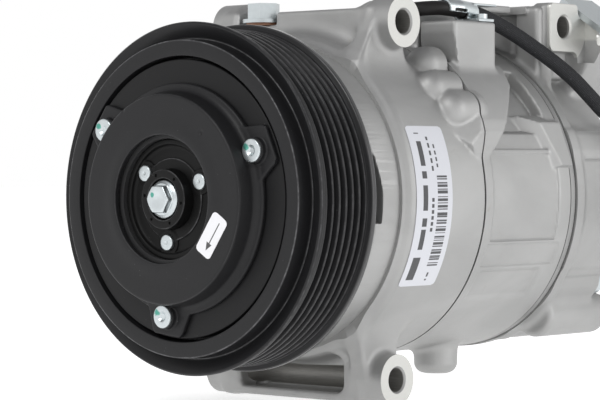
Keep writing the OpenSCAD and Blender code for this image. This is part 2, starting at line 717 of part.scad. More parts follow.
module pulley() {
    first_y = -groove_count * groove_pitch / 2;
    crest = 0.8;
    root = 0.9;
    hub_r = bearing_od / 2 + hub_wall;
    // Grooves cut into the rim, one after the other
    ribs = [
        for (i = [0 : groove_count - 1]) let (y = first_y + groove_pitch * (i + 0.5))
            each [
                [rib_r, y - groove_pitch / 2 + crest / 2], [groove_r, y - root / 2],
                [groove_r, y + root / 2], [rib_r, y + groove_pitch / 2 - crest / 2]
            ]
    ];
    color(black) difference() {
        turned(concat(
            [[bearing_od / 2, friction_y], [lip_in_r, friction_y], [lip_in_r, lip_front + 0.4],
            [lip_in_r + 0.4, lip_front], [lip_out_r - 0.6, lip_front], [lip_out_r, lip_front + 0.6],
            [lip_out_r, -pulley_half_w + 1.6], [pulley_r - 0.6, -pulley_half_w - 1.7],
            [pulley_r, -pulley_half_w - 1.1], [pulley_r, -pulley_half_w], [rib_r, first_y - 1.1]],
            ribs,
            [[rib_r, -first_y + 0.6], [pulley_r, pulley_half_w - 2.2], [pulley_r, pulley_half_w],
            [rim_in_r, pulley_half_w], [rim_in_r, coil_y0 - 1.2], [hub_r, coil_y0 - 1.2],
            [hub_r, bearing_y1], [bearing_od / 2, bearing_y1]]
        ));
        // Arc slots that steer the magnetic field
        for (k = [0 : 5]) difference() {
            sector(60 * k + 8, 60 * k + 52, friction_y - 1, coil_y0, 46);
            rod_y(43, friction_y - 2, coil_y0 + 1);
        }
    }
}

module hub() {
    color(steel) difference() {
        union() {
            rod_y(hub_boss_r, hub_boss_y, hub_stop_y - shim_t - 0.1);
            rod_y(hub_flange_r, plate_floor_y + cover_t, plate_floor_y + cover_t + 2.4);
        }
        rod_y(spline_r + run_gap, shaft_y0 - 0.5, hub_stop_y + 1);
        rod_y(3.2, hub_boss_y - 1, shaft_y0);
        rod_y(7.4, hub_boss_y - 1, hub_boss_y + bolt_seat_depth);
        on_circle(3, small_rivet_pcd / 2, rivet_phase)
            rod_y(small_rivet_r, plate_floor_y, plate_floor_y + 8);
    }
}
module adjusting_shim() {
    color(zinc) tube_y(shaft_r, spline_r + run_gap, hub_stop_y - shim_t - 0.1, hub_stop_y - 0.05);
}
module inner_plate() {
    color(black) difference() {
        union() {
            tube_y(rubber_in_r, hub_boss_r, plate_floor_y, plate_floor_y + cover_t);
            tube_y(rubber_in_r, rubber_in_r - cover_t, dome_y + 2.4, plate_floor_y + 1);
        }
        on_circle(3, small_rivet_pcd / 2, rivet_phase)
            rod_y(small_rivet_r, plate_floor_y - 1, plate_floor_y + cover_t + 1);
    }
}
module hub_rivets() {
    color(zinc) on_circle(3, small_rivet_pcd / 2, rivet_phase) {
        rod_y(small_rivet_r, plate_floor_y - 0.5, plate_floor_y + cover_t + 2.4);
        difference() {
            union() {
                rod_y(3, plate_floor_y - 1.5, plate_floor_y);
                cone_y(2.2, 3, plate_floor_y - 2.2, plate_floor_y - 1.5);
            }
            cone_y(1.2, 0.4, plate_floor_y - 2.3, plate_floor_y - 1.6);
        }
    }
}
module damper_rubber() {
    color([0.05, 0.05, 0.05]) turned([
        [rubber_in_r, dome_y + cover_t + air_gap + body_gap],
        [rubber_out_r - 0.8 - body_gap, dome_y + cover_t + air_gap + body_gap],
        [rubber_out_r - 0.1 - body_gap, armature_y0 - 1.2], [rubber_in_r, armature_y0 - 1.2]
    ]);
}
module damper_cover() {
    lobe_r = big_rivet_pcd / 2 + 6.4;
    side_r = dome_r - 1.9;
    color(black) difference() {
        union() {
            turned([
                [well_r, dome_y], [well_r + 0.6, dome_y - 0.5], [side_r - 1.5, dome_y],
                [side_r, dome_y + 1.2], [dome_r, cover_y0 - 0.9], [dome_r + 2.7, cover_y0],
                [dome_r + 2.7, armature_y0], [rubber_out_r, armature_y0],
                [rubber_out_r - 0.8, dome_y + cover_t], [well_r, dome_y + cover_t]
            ]);
            // Three straight-sided lobes that carry the large rivets
            difference() {
                translate([0, cover_y0, 0]) rotate([-90, 0, 0]) linear_extrude(cover_t) union() {
                    for (k = [0 : 2]) rotate(-rivet_phase - 120 * k) polygon([
                        [dome_r - 8, -14], [dome_r + 2.7, -10.4], [lobe_r - 0.8, -7.6], [lobe_r, -6.6],
                        [lobe_r, 6.6], [lobe_r - 0.8, 7.6], [dome_r + 2.7, 10.4], [dome_r - 8, 14]
                    ]);
                }
                rod_y(dome_r - 1, cover_y0 - 1, armature_y0 + 1);
            }
        }
        on_circle(3, big_rivet_pcd / 2, rivet_phase) {
            rod_y(big_rivet_r, cover_y0 - 1, armature_y0 + 1);
            rod_y(big_head_r + 0.3, cover_y0 - 9, rivet_seat_y);
        }
    }
}
module armature_plate() {
    color(black) difference() {
        tube_y(armature_r, 27, armature_y0, armature_y1);
        on_circle(3, big_rivet_pcd / 2, rivet_phase) rod_y(big_rivet_r, armature_y0 - 1, armature_y1 + 1);
        on_circle(3, big_rivet_pcd / 2, rivet_phase)
            rod_y(big_rivet_r + 1.2, armature_y1 - 1.4, armature_y1 + 1);
        for (k = [0 : 2]) difference() {
            sector(120 * k + rivet_phase + 18, 120 * k + rivet_phase + 102, armature_y0 - 1,
                armature_y1 + 1, 40.9);
            rod_y(38.3, armature_y0 - 2, armature_y1 + 2);
        }
    }
}
module armature_rivets() {
    color(zinc) on_circle(3, big_rivet_pcd / 2, rivet_phase) {
        rod_y(big_rivet_r, cover_y0 - 1, armature_y1 - 0.6);
        rod_y(big_rivet_r + 1.2, armature_y1 - 1.4, armature_y1 - 0.4);
        difference() {
            union() {
                rod_y(big_head_r, rivet_seat_y - 2.7, rivet_seat_y);
                cone_y(big_head_r - 0.8, big_head_r, rivet_seat_y - 3.4, rivet_seat_y - 2.7);
            }
            cone_y(1.8, 0.8, rivet_seat_y - 3.5, rivet_seat_y - 2.5);
        }
    }
}
module centre_bolt() {
    seat_y = hub_boss_y + bolt_seat_depth;
    color(zinc) {
        rod_y(2.5, seat_y - 1, shaft_y0 + 16);
        cone_y(5.6, 6.7, seat_y - 3.2, seat_y - 2.3);
        rod_y(6.7, seat_y - 2.3, seat_y);
        difference() {
            translate([0, seat_y - 5.6, 0]) rotate([-90, 30, 0]) cylinder(r = 5.77, h = 4.6, $fn = 6);
            cone_y(2.6, 2, seat_y - 5.7, seat_y - 5);
        }
    }
}
module turn_arrow_label() {
    // Thin label on the domed face, lengthwise at an angle
    side_r = dome_r - 1.9;
    color("white") intersection() {
        translate([24.7, dome_y, -12.3]) rotate([0, -56, 0]) block([-8.2, -2, -3.8], [8.2, 2, 3.8]);
        turned([
            [well_r + 0.6, dome_y - 0.5], [well_r + 0.6, dome_y - 0.65],
            [side_r - 1.5, dome_y - 0.15], [side_r - 1.5, dome_y]
        ]);
    }
}
module rating_label() {
    y0 = step_y + 4.4;
    color("white") difference() {
        intersection() {
            rod_y(body_r + 0.15, y0, y0 + 21);
            sector(-32, 26, y0, y0 + 21, body_r * 1.3);
        }
        rod_y(body_r + 0.02, y0 - 1, y0 + 22);
    }
}
module oil_plug_washer() {
    color("firebrick") translate([plug_x, plug_y, plug_seat_z]) difference() {
        cylinder(r = 6.6, h = plug_washer_t);
        translate([0, 0, -1]) cylinder(r = 3 + bolt_gap, h = 3);
    }
}
module oil_plug() {
    color(zinc) translate([plug_x, plug_y, plug_seat_z + plug_washer_t]) {
        translate([0, 0, -6.5]) cylinder(r = 2.95, h = 7.5);
        cylinder(r = 8, h = 1.4);
        translate([0, 0, 1.4]) cylinder(r = 6.35, h = 6, $fn = 6);
    }
}
module port_cover() {
    color(zinc) rotate([0, port_tilt, 0]) difference() {
        block([-12.5, head_y0 + 24.5, port_face_r], [12.5, head_y1 - 1.5, port_face_r + 2.4]);
        translate([8.6, port_y + 1, port_face_r - 1]) cylinder(r = 3 + bolt_gap, h = 5);
    }
}
module port_cover_bolt() {
    color(zinc) rotate([0, port_tilt, 0]) translate([8.6, port_y + 1, port_face_r]) {
        translate([0, 0, -11]) cylinder(r = 2.95, h = 12);
        translate([0, 0, 2.4]) cylinder(r = 3.9, h = 1.2);
        translate([0, 0, 3.4]) cylinder(r = 4.6, h = 4, $fn = 6);
        translate([0, 0, 0.5]) cylinder(r = 2.95, h = 3);
    }
}

module clutch_lead() {
    color([0.08, 0.08, 0.08]) swept_tube(along(lead_route, steps_a_span), lead_d / 2, lead_sides);
}
module lead_gland() {
    gland_x = 58;
    color(black) rotate([0, -gland_angle, 0]) {
        block([coil_in_r + 4.5, coil_plate_y + 0.5, -5], [gland_x - 1, housing_y0 + 3.6, 5]);
    }
}
module lead_clip() {
    r = lead_d / 2 + run_gap;
    color(zinc) difference() {
        union() {
            translate([held_x, 0, held_z]) rod_y(r + strap_t, clip_y - clip_len / 2, clip_y + clip_len / 2);
            block([held_x, clip_y - clip_len / 2, pad_z],
                [clip_x + 2.6, clip_y + clip_len / 2, pad_z + strap_t]);
        }
        translate([held_x, 0, held_z]) rod_y(r, clip_y - clip_len, clip_y + clip_len);
        translate([clip_x, clip_y, pad_z - 1]) cylinder(r = clip_screw_r + bolt_gap, h = 4);
    }
}
module clip_screw() {
    color(zinc) translate([clip_x, clip_y, pad_z + strap_t]) {
        cylinder(r = 2.3, h = 1.8);
        translate([0, 0, -8]) cylinder(r = clip_screw_r, h = 9);
    }
}
module lead_connector() {
    color([0.12, 0.12, 0.13]) translate([connector_x, connector_y, 0]) {
        block([0, 0, -21], [13, 15, 1]);
        block([2.9, 3.6, 1], [10.7, 11.4, 3.95]);
        block([4.5, -2, -14], [8.5, 0, -4]);
    }
}
module connector_bracket() {
    color(zinc) difference() {
        union() {
            block([bracket_x, bracket_y - 4.7, -15], [bracket_x + bracket_t, bracket_end, -1]);
            block([bracket_x, connector_y + 4, -19], [bracket_x + bracket_t, bracket_end, 0]);
        }
        rod_x(bracket_screw_r + bolt_gap, bracket_x - 2, bracket_x + 3, bracket_y, bracket_z);
    }
}
module bracket_screw() {
    color(zinc) {
        rod_x(bracket_screw_r, bracket_x - 10.5, bracket_x + 2, bracket_y, bracket_z);
        rod_x(4.4, bracket_x + bracket_t, bracket_x + bracket_t + 3.2, bracket_y, bracket_z);
    }
}

front_housing();
cylinder_block();
rear_head();
crankcase_gasket();
suction_reed_sheet();
valve_plate();
discharge_reed_sheet();
reed_retainer();
head_gasket();
through_bolts();
pistons();
piston_shoes();
drive_shaft();
lug_plate();
hinge_pin();
swash_plate();
return_spring();
thrust_bearing();
front_needle_bearing();
rear_needle_bearing();
shaft_seal();
seal_snap_ring();
control_valve();
relief_valve();
coil_cup();
coil_winding();
coil_snap_ring();
bearing_inner_race();
bearing_balls();
ball_cage();
bearing_outer_race();
bearing_snap_ring();
pulley();
hub();
adjusting_shim();
inner_plate();
hub_rivets();
damper_rubber();
damper_cover();
armature_plate();
armature_rivets();
centre_bolt();
turn_arrow_label();
rating_label();
oil_plug();
oil_plug_washer();
port_cover();
port_cover_bolt();
clutch_lead();
lead_gland();
lead_clip();
clip_screw();
lead_connector();
connector_bracket();
bracket_screw();
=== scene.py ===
import math
from functools import reduce

import bmesh
import bpy
import numpy as np
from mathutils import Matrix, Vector


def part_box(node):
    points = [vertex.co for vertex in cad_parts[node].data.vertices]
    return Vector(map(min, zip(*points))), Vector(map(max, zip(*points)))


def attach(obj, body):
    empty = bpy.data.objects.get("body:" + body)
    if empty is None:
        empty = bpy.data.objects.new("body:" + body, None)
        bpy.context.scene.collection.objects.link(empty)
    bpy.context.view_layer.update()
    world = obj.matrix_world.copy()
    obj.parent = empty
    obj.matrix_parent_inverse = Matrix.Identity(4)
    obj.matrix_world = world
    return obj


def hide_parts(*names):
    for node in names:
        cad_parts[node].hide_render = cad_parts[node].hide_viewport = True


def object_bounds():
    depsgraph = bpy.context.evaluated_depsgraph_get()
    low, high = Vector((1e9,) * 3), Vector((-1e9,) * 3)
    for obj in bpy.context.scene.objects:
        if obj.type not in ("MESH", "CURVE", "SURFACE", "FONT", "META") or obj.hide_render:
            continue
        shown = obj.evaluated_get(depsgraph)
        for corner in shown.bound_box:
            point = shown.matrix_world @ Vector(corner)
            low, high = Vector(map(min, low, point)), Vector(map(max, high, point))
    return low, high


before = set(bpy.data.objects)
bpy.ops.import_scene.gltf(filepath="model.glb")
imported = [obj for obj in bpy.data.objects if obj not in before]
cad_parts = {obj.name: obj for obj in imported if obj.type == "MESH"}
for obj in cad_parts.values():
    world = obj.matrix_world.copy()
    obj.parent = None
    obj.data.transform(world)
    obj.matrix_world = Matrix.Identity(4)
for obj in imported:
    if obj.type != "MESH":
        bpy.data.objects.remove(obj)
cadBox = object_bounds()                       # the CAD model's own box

mm = 0.001


def added(name, data):
    # a new object in the scene
    thing = bpy.data.objects.new(name, data)
    bpy.context.scene.collection.objects.link(thing)
    return thing


def facing(place, aim):
    return (Vector(aim) - Vector(place)).to_track_quat("-Z", "Y").to_euler()


cameraPlan = {"place": (0.6097, -0.6505, 0.0127), "aim": (0.0204, 0.0221, -0.0006), "lens": 148.1}

cameraData = bpy.data.cameras.new("camera")
camera = added("camera", cameraData)
camera.location = cameraPlan["place"]
camera.rotation_euler = facing(cameraPlan["place"], cameraPlan["aim"])
cameraData.lens = cameraPlan["lens"]
cameraData.sensor_width = 36
cameraData.clip_start = 0.01
cameraData.clip_end = 20
bpy.context.scene.camera = camera


def smoothed(mesh, below):
    mesh.shade_smooth()
    mesh.set_sharp_from_angle(angle=math.radians(below))


def meshPiece(name, points, faces, smoothBelow=35):
    # points in millimetres
    mesh = bpy.data.meshes.new(name)
    mesh.from_pydata((np.asarray(points, float) * mm).tolist(), [], faces)
    work = bmesh.new()
    work.from_mesh(mesh)
    bmesh.ops.remove_doubles(work, verts=work.verts, dist=1e-7)
    bmesh.ops.recalc_face_normals(work, faces=work.faces)
    work.to_mesh(mesh)
    work.free()
    smoothed(mesh, smoothBelow)
    return added(name, mesh)


def rounded(corners, radius=0.4, steps=4):
    # corners are (r, y) or (r, y, radius), and each becomes a short arc
    out = []
    count = len(corners)
    for i, corner in enumerate(corners):
        here = np.array(corner[:2], float)
        back = np.array(corners[i - 1][:2], float) - here
        ahead = np.array(corners[(i + 1) % count][:2], float) - here
        want = corner[2] if len(corner) > 2 else radius
        lengths = np.linalg.norm(back), np.linalg.norm(ahead)
        if want <= 0 or here[0] < 1e-6 or min(lengths) < 1e-6:
            out.append(here)
            continue
        back, ahead = back / lengths[0], ahead / lengths[1]
        half = math.acos(np.clip(back @ ahead, -1, 1)) / 2
        if half > math.radians(88):
            out.append(here)
            continue
        reach = min(want / math.tan(half), 0.48 * min(lengths))
        for t in np.linspace(0, 1, steps + 1):
            out.append(here + back * reach * (1 - t) ** 2 + ahead * reach * t ** 2)
    return out


def lathe(name, corners, radius=0.4, steps=4, turns=240, centre=(0, 0), smoothBelow=35):
    # a closed (r, y) outline turned about the shaft line, or about a line beside it
    outline = [tuple(p) for p in rounded(corners, radius, steps)]
    angles = np.arange(turns) * 2 * math.pi / turns
    points, rows = [], []
    for r, y in outline:
        if r < 1e-6:
            rows.append([len(points)] * turns)
            points.append((centre[0], y, centre[1]))
        else:
            rows.append(list(range(len(points), len(points) + turns)))
            points += [(centre[0] + r * math.cos(a), y, centre[1] + r * math.sin(a)) for a in angles]
    faces = []
    for i, row in enumerate(rows):
        ahead = rows[(i + 1) % len(rows)]
        if outline[i][0] < 1e-6 and outline[(i + 1) % len(rows)][0] < 1e-6:
            continue
        for k in range(turns):
            n = (k + 1) % turns
            face = [row[k], row[n], ahead[n], ahead[k]]
            faces.append([v for j, v in enumerate(face) if v != face[j - 1]])
    return meshPiece(name, points, faces, smoothBelow)


def joined(name, pieces):
    # several separate solids in one object
    work = bmesh.new()
    for piece in pieces:
        work.from_mesh(piece.data)
        bpy.data.objects.remove(piece)
    mesh = bpy.data.meshes.new(name)
    work.to_mesh(mesh)
    work.free()
    return added(name, mesh)


def swungTo(piece, axis, place=(0, 0, 0)):
    # stands a piece made along the shaft on another axis, with its origin at a place
    axes = {"x": ((0, 1, 0), (-1, 0, 0), (0, 0, 1)), "z": ((1, 0, 0), (0, 0, -1), (0, 1, 0))}
    turn = np.array(axes[axis], float)
    points = np.empty(len(piece.data.vertices) * 3)
    piece.data.vertices.foreach_get("co", points)
    points = points.reshape(-1, 3) @ turn.T + np.array(place) * mm
    piece.data.vertices.foreach_set("co", points.ravel())
    piece.data.update()
    return piece


def carve(piece, tool, way="DIFFERENCE", smoothBelow=35):
    for solver in ("MANIFOLD", "EXACT"):
        step = piece.modifiers.new("carve", "BOOLEAN")
        step.operation = way
        step.solver = solver
        step.object = tool
        before = len(piece.data.polygons)
        result = bpy.data.meshes.new_from_object(piece.evaluated_get(bpy.context.evaluated_depsgraph_get()))
        piece.modifiers.remove(step)
        if len(result.polygons) > 0 and len(result.polygons) != before:
            break
        print("carve:", piece.name, tool.name, solver, "left the mesh as it was")
    old = piece.data
    piece.data = result
    bpy.data.meshes.remove(old)
    bpy.data.objects.remove(tool)
    smoothed(piece.data, smoothBelow)


def corner(*walls):
    # the inside of several walls at once, as a distance, with true rounds outside
    outside = sum(np.maximum(w, 0) ** 2 for w in walls)
    inside = walls[0]
    for w in walls[1:]:
        inside = np.maximum(inside, w)
    return np.sqrt(outside) + np.minimum(inside, 0)


def melt(a, b, k):
    # two shapes as one, with a fillet k wide between them
    return np.minimum(a, b) - np.maximum(k - np.abs(a - b), 0) ** 2 / (4 * k)


def gathered(shape, *parts):
    # melts parts on in turn, each given with its fillet
    for part, k in parts:
        shape = melt(shape, part, k)
    return shape


def trim(a, b, k):
    # takes b away from a, with a fillet k wide
    return -melt(-a, b, k)


def span(v, low, high, edge):
    return np.abs(v - (low + high) / 2) - ((high - low) / 2 - edge)


def rod(p, axis, r, low, high, u=0, v=0, edge=0.8):
    # a round bar along an axis, at (u, v) on the other two
    a, b = (n for n in range(3) if n != axis)
    return corner(np.hypot(p[a] - u, p[b] - v) - (r - edge), span(p[axis], low, high, edge)) - edge


def brick(p, low, high, edge=0.8):
    return corner(*(span(p[i], low[i], high[i], edge) for i in range(3))) - edge


def swung(p, degrees):
    # the frame turned about the shaft, so that +X looks along an angle from +X towards +Z
    c, s = math.cos(math.radians(degrees)), math.sin(math.radians(degrees))
    return p[0] * c + p[2] * s, p[1], p[2] * c - p[0] * s


def skin(name, field, low, high, cell, smoothBelow=35):
    # the surface where the field is zero, as quads, with each point moved onto it
    def bounded(q):
        walls = [span(q[n], low[n] - 0.3 * cell, high[n] + 0.3 * cell, 0) for n in range(3)]
        return np.maximum(field(q), reduce(np.maximum, walls))

    axes = [np.arange(a - 2 * cell, b + 2.5 * cell, cell) for a, b in zip(low, high)]
    shape = tuple(len(a) for a in axes)
    p = (axes[0][:, None, None], axes[1][None, :, None], axes[2][None, None, :])
    value = np.ascontiguousarray(np.broadcast_to(bounded(p), shape)).astype(np.float32)
    inside = value < 0
    count = np.zeros(tuple(s - 1 for s in shape), np.int8)
    spots = [(i, j, k) for i in (0, 1) for j in (0, 1) for k in (0, 1)]
    for spot in spots:
        count += inside[tuple(slice(n, size - 1 + n) for n, size in zip(spot, shape))]
    cells = np.argwhere((count > 0) & (count < 8))
    number = np.full(count.shape, -1, np.int64)
    number[tuple(cells.T)] = np.arange(len(cells))
    total, hits = np.zeros((len(cells), 3)), np.zeros((len(cells), 1))
    at = {s: value[cells[:, 0] + s[0], cells[:, 1] + s[1], cells[:, 2] + s[2]] for s in spots}
    for a in spots:
        for axis in range(3):
            if a[axis]:
                continue
            b = tuple(v + (n == axis) for n, v in enumerate(a))
            crosses = (at[a] < 0) != (at[b] < 0)
            part = np.where(crosses, at[a] / np.where(crosses, at[a] - at[b], 1), 0)
            step = np.array(a, float)[None, :] + np.eye(3)[axis][None, :] * part[:, None]
            total += step * crosses[:, None]
            hits += crosses[:, None]
    points = np.array([a[0] for a in axes]) + (cells + total / hits) * cell
    for _ in range(3):
        here = [points[:, n] for n in range(3)]
        depth = bounded(here)
        slope = np.empty_like(points)
        for n in range(3):
            moved = list(here)
            moved[n] = here[n] + 0.02
            slope[:, n] = (bounded(moved) - depth) / 0.02
        size = np.maximum((slope ** 2).sum(1), 0.25)
        points -= np.clip((depth / size)[:, None] * slope, -0.4 * cell, 0.4 * cell)
    quads = []
    for axis in range(3):
        u, v = [n for n in range(3) if n != axis]
        lead = [slice(None)] * 3
        lag = [slice(None)] * 3
        lead[axis], lag[axis] = slice(1, None), slice(None, -1)
        edges = np.argwhere(inside[tuple(lead)] != inside[tuple(lag)])
        edges = edges[(edges[:, u] > 0) & (edges[:, v] > 0)]
        ring = []
        for du, dv in ((1, 1), (0, 1), (0, 0), (1, 0)):
            beside = edges.copy()
            beside[:, u] -= du
            beside[:, v] -= dv
            ring.append(number[tuple(beside.T)])
        quad = np.stack(ring, 1)
        flip = inside[tuple(edges.T)] == (axis != 1)
        quad[~flip] = quad[~flip][:, ::-1]
        quads.append(quad)
    mesh = bpy.data.meshes.new(name)
    mesh.from_pydata((points * mm).tolist(), [], np.concatenate(quads).tolist())
    smoothed(mesh, smoothBelow)
    return added(name, mesh)


class Wire:
    # one socket of a material, with arithmetic on it
    def __init__(self, paint, socket):
        self.paint, self.socket = paint, socket

    def merged(self, work, *terms):
        numbers = all(t.socket.type == "VALUE" for t in terms if isinstance(t, Wire))
        kind = "ShaderNodeMath" if numbers else "ShaderNodeVectorMath"
        terms = [t if numbers or isinstance(t, (Wire, tuple)) else (t, t, t) for t in terms]
        return self.paint.add(kind, {"operation": work}, list(terms))

    def __add__(self, other):
        return self.merged("ADD", self, other)

    def __radd__(self, other):
        return self.merged("ADD", other, self)

    def __sub__(self, other):
        return self.merged("SUBTRACT", self, other)

    def __rsub__(self, other):
        return self.merged("SUBTRACT", other, self)

    def __mul__(self, other):
        return self.merged("MULTIPLY", self, other)

    def __rmul__(self, other):
        return self.merged("MULTIPLY", other, self)

    def __truediv__(self, other):
        return self.merged("DIVIDE", self, other)

    def __pow__(self, other):
        return self.merged("POWER", self, other)

    def __abs__(self):
        return self.merged("ABSOLUTE", self)

    def __gt__(self, other):
        return self.merged("GREATER_THAN", self, other)

    def most(self, other):
        return self.merged("MAXIMUM", self, other)

    def sine(self):
        return self.merged("SINE", self)

    def rise(self, low, high):
        # 0 below low, 1 above high, smooth between
        return self.paint.add("ShaderNodeMapRange", {"interpolation_type": "SMOOTHSTEP"},
                              {"Value": self, "From Min": low, "From Max": high})


class Paint:
    # a material, or a world, under construction
    def __init__(self, name, world=False):
        self.material = (bpy.data.worlds if world else bpy.data.materials).new(name)
        self.material.use_nodes = True
        self.tree = self.material.node_tree
        self.tree.nodes.clear()
        self.spot = self.add("ShaderNodeTexCoord", {}, {}, "Generated" if world else "Object")
        parts = self.add("ShaderNodeSeparateXYZ", {}, [self.spot], None)
        self.x, self.y, self.z = (Wire(self, parts.outputs[n]) for n in ("X", "Y", "Z"))

    def add(self, kind, settings, inputs, out=0):
        node = self.tree.nodes.new(kind)
        for key, value in settings.items():
            if key == "stops":
                for element, (place, colour) in zip(node.color_ramp.elements, value):
                    element.position = place
                    element.color = (*colour, 1)
            else:
                setattr(node, key, value)
        pairs = inputs.items() if isinstance(inputs, dict) else enumerate(inputs)
        for key, value in pairs:
            if isinstance(value, Wire):
                self.tree.links.new(value.socket, node.inputs[key])
            elif isinstance(value, tuple) and len(value) == 3 and node.inputs[key].type == "RGBA":
                node.inputs[key].default_value = (*value, 1)
            else:
                node.inputs[key].default_value = value
        return node if out is None else Wire(self, node.outputs[out])

    def noise(self, scale, detail=3.0, rough=0.5, stretch=None, warp=0.0):
        place = self.spot if stretch is None else self.spot * stretch
        return self.add("ShaderNodeTexNoise", {}, {"Vector": place, "Scale": scale, "Detail": detail,
                                                   "Roughness": rough, "Distortion": warp})

    def grains(self, scale, out="Distance"):
        return self.add("ShaderNodeTexVoronoi", {}, {"Vector": self.spot, "Scale": scale}, out)

    def mix(self, factor, a, b):
        # colour a turning to colour b
        return self.add("ShaderNodeMix", {"data_type": "RGBA"}, {0: factor, 6: a, 7: b}, 2)

    def blend(self, factor, a, b):
        # the same for numbers
        return a + (b - a) * factor

    def tint(self, colour, amount):
        # a colour made lighter or darker by a number that varies
        return self.add("ShaderNodeCombineXYZ", {}, [amount, amount, amount]) * colour

    def bump(self, height, distance, strength=1.0):
        return self.add("ShaderNodeBump", {},
                        {"Height": height, "Distance": distance, "Strength": strength})

    def length2(self, a, b):
        return (a * a + b * b) ** 0.5

    def done(self, **sockets):
        surface = self.add("ShaderNodeBsdfPrincipled", {},
                           {k.replace("_", " "): v for k, v in sockets.items()}, "BSDF")
        self.add("ShaderNodeOutputMaterial", {}, [surface], None)
        return self.material


def castFinish(name, facedBeyond=None, bores=(), grey=0.425, paintedPocketShade=False):
    # sand-grained die casting. Beyond a distance from the middle plane the lugs round the bores,
    # given as (y, z, radius) in millimetres, are milled bright; the bore walls get painted shade.
    paint = Paint(name)
    x, y, z = paint.x, paint.y, paint.z
    flow = paint.noise(38, 4, 0.55, stretch=(1, 0.6, 1), warp=0.4)
    cloud = paint.noise(120, 3, 0.6)
    grain = paint.noise(2600, 2, 0.6)
    pits = 1 - paint.grains(900).rise(0.0, 0.22)
    tone = 0.88 + 0.12 * flow.rise(0.3, 0.7) + 0.05 * (cloud - 0.5) - 0.05 * pits
    stain = paint.noise(55, 5, 0.65, warp=0.8).rise(0.63, 0.74) * 0.22
    base = paint.mix(stain, paint.tint((grey, grey, grey * 0.99), tone), (0.26, 0.23, 0.19))
    rough = 0.50 + 0.10 * cloud - 0.06 * flow
    height = grain * 0.55 + cloud * 0.5 - pits * 0.6
    normal = paint.bump(height, 0.00016, 0.55)
    if facedBeyond is not None:
        beyond = abs(x).rise((facedBeyond - 0.08) * mm, (facedBeyond - 0.02) * mm)
        aways = [(paint.length2(y - boreY * mm, z - boreZ * mm), r) for boreY, boreZ, r in bores]
        lugs = [1 - away.rise(14.5 * mm, 15 * mm) for away, r in aways]
        boreShades = [1 - away.rise((r + 0.05) * mm, (r + 0.15) * mm) for away, r in aways]
        faced, boreShade = beyond * reduce(Wire.most, lugs), reduce(Wire.most, boreShades)
        swirl = paint.noise(900, 2, 0.5, stretch=(0.3, 1, 6))
        # painted shade: the walls inside the bores darkened
        base = paint.mix(boreShade * (1 - beyond), base, paint.tint((0.30, 0.295, 0.28), 0.7 + 0.6 * swirl))
        base = paint.mix(faced, base, paint.tint((0.60, 0.60, 0.575), 0.94 + 0.1 * swirl))
        rough = paint.blend(faced, rough, 0.33 + 0.1 * swirl)
        height = paint.blend(faced, height, swirl * 0.12)
        normal = paint.bump(height, 0.00016, 0.55)
    if paintedPocketShade:
        # painted shade: near-black colour on the floor of the pocket behind the pulley, standing in for its
        # shadow
        depth = y + (z - 3 * mm).most(0) * 0.18
        dark = (1 - depth.rise(25.0 * mm, 25.6 * mm)) * 0.85
        dark = dark * (x > 0) * (1 - abs(z - 4 * mm).rise(11.3 * mm, 12.3 * mm))
        base = paint.mix(dark, base, (0.012, 0.012, 0.012))
    return paint.done(Base_Color=base, Roughness=rough, Metallic=0.72, Normal=normal)


def blackFinish(name, edges=(), gloss=0.36, coat=(0.012, 0.012, 0.013), shine=0.25, glossyRim=False):
    # satin black coat on steel, with worn paint and painted highlight on the turned edges given as (r, y,
    # amount) in millimetres
    paint = Paint(name)
    r = paint.length2(paint.x, paint.z)
    peel = paint.noise(700, 2, 0.5)
    fine = paint.noise(3500, 2, 0.6)
    dust = (1 - paint.grains(420).rise(0.02, 0.10)) * paint.noise(160, 2, 0.5).rise(0.5, 0.62)
    nicks = paint.noise(260, 4, 0.7).rise(0.42, 0.62)
    dustAndEdgeGlint = dust * 0.25
    # each listed edge gets a lighter line: painted highlight mixed with wear of the coat
    for edgeR, edgeY, amount in edges:
        away = paint.length2(r - edgeR * mm, paint.y - edgeY * mm)
        dustAndEdgeGlint = dustAndEdgeGlint.most((1 - away.rise(0.05 * mm, 0.42 * mm)) * (0.35 + 0.65 * nicks) * amount)
    base = paint.mix(dustAndEdgeGlint, paint.tint(coat, 0.85 + 0.3 * peel), (0.30, 0.30, 0.31))
    rough = gloss + 0.07 * peel + 0.12 * dustAndEdgeGlint
    normal = paint.bump(peel * 0.6 + fine * 0.25, 0.00006, 0.35)
    rim = {}
    if glossyRim:   # smoother paint on the cylinder of the rear flange
        flange = r.rise(62.6 * mm, 62.8 * mm) * paint.y.rise(10.6 * mm, 11 * mm)
        rim = {"Coat_Weight": flange, "Coat_Roughness": 0.2}
    return paint.done(Base_Color=base, Roughness=rough, Metallic=dustAndEdgeGlint * 0.7, Normal=normal,
                      Specular_IOR_Level=shine, **rim)


def zincFinish(name, colour=(0.60, 0.645, 0.66), dye=(), dyeColour=(0.02, 0.30, 0.22)):
    # bright zinc plate, with dabs of inspection dye at (x, y, z, radius) in millimetres
    paint = Paint(name)
    frost = paint.noise(420, 4, 0.6)
    fine = paint.noise(2600, 2, 0.5)
    base = paint.tint(colour, 0.86 + 0.2 * frost)
    dabs = []
    for dx, dy, dz, size in dye:
        away = paint.spot - (dx * mm, dy * mm, dz * mm)
        far = paint.add("ShaderNodeVectorMath", {"operation": "LENGTH"}, [away], "Value")
        far = far + (paint.noise(700, 3, 0.6) - 0.5) * size * 1.1 * mm
        dabs.append(1 - far.rise(size * 0.6 * mm, size * mm))
    if dabs:
        base = paint.mix(reduce(Wire.most, dabs) * 0.85, base, dyeColour)
    rough = 0.26 + 0.16 * frost
    normal = paint.bump(frost * 0.5 + fine * 0.3, 0.00005, 0.4)
    return paint.done(Base_Color=base, Roughness=rough, Metallic=0.95, Normal=normal)


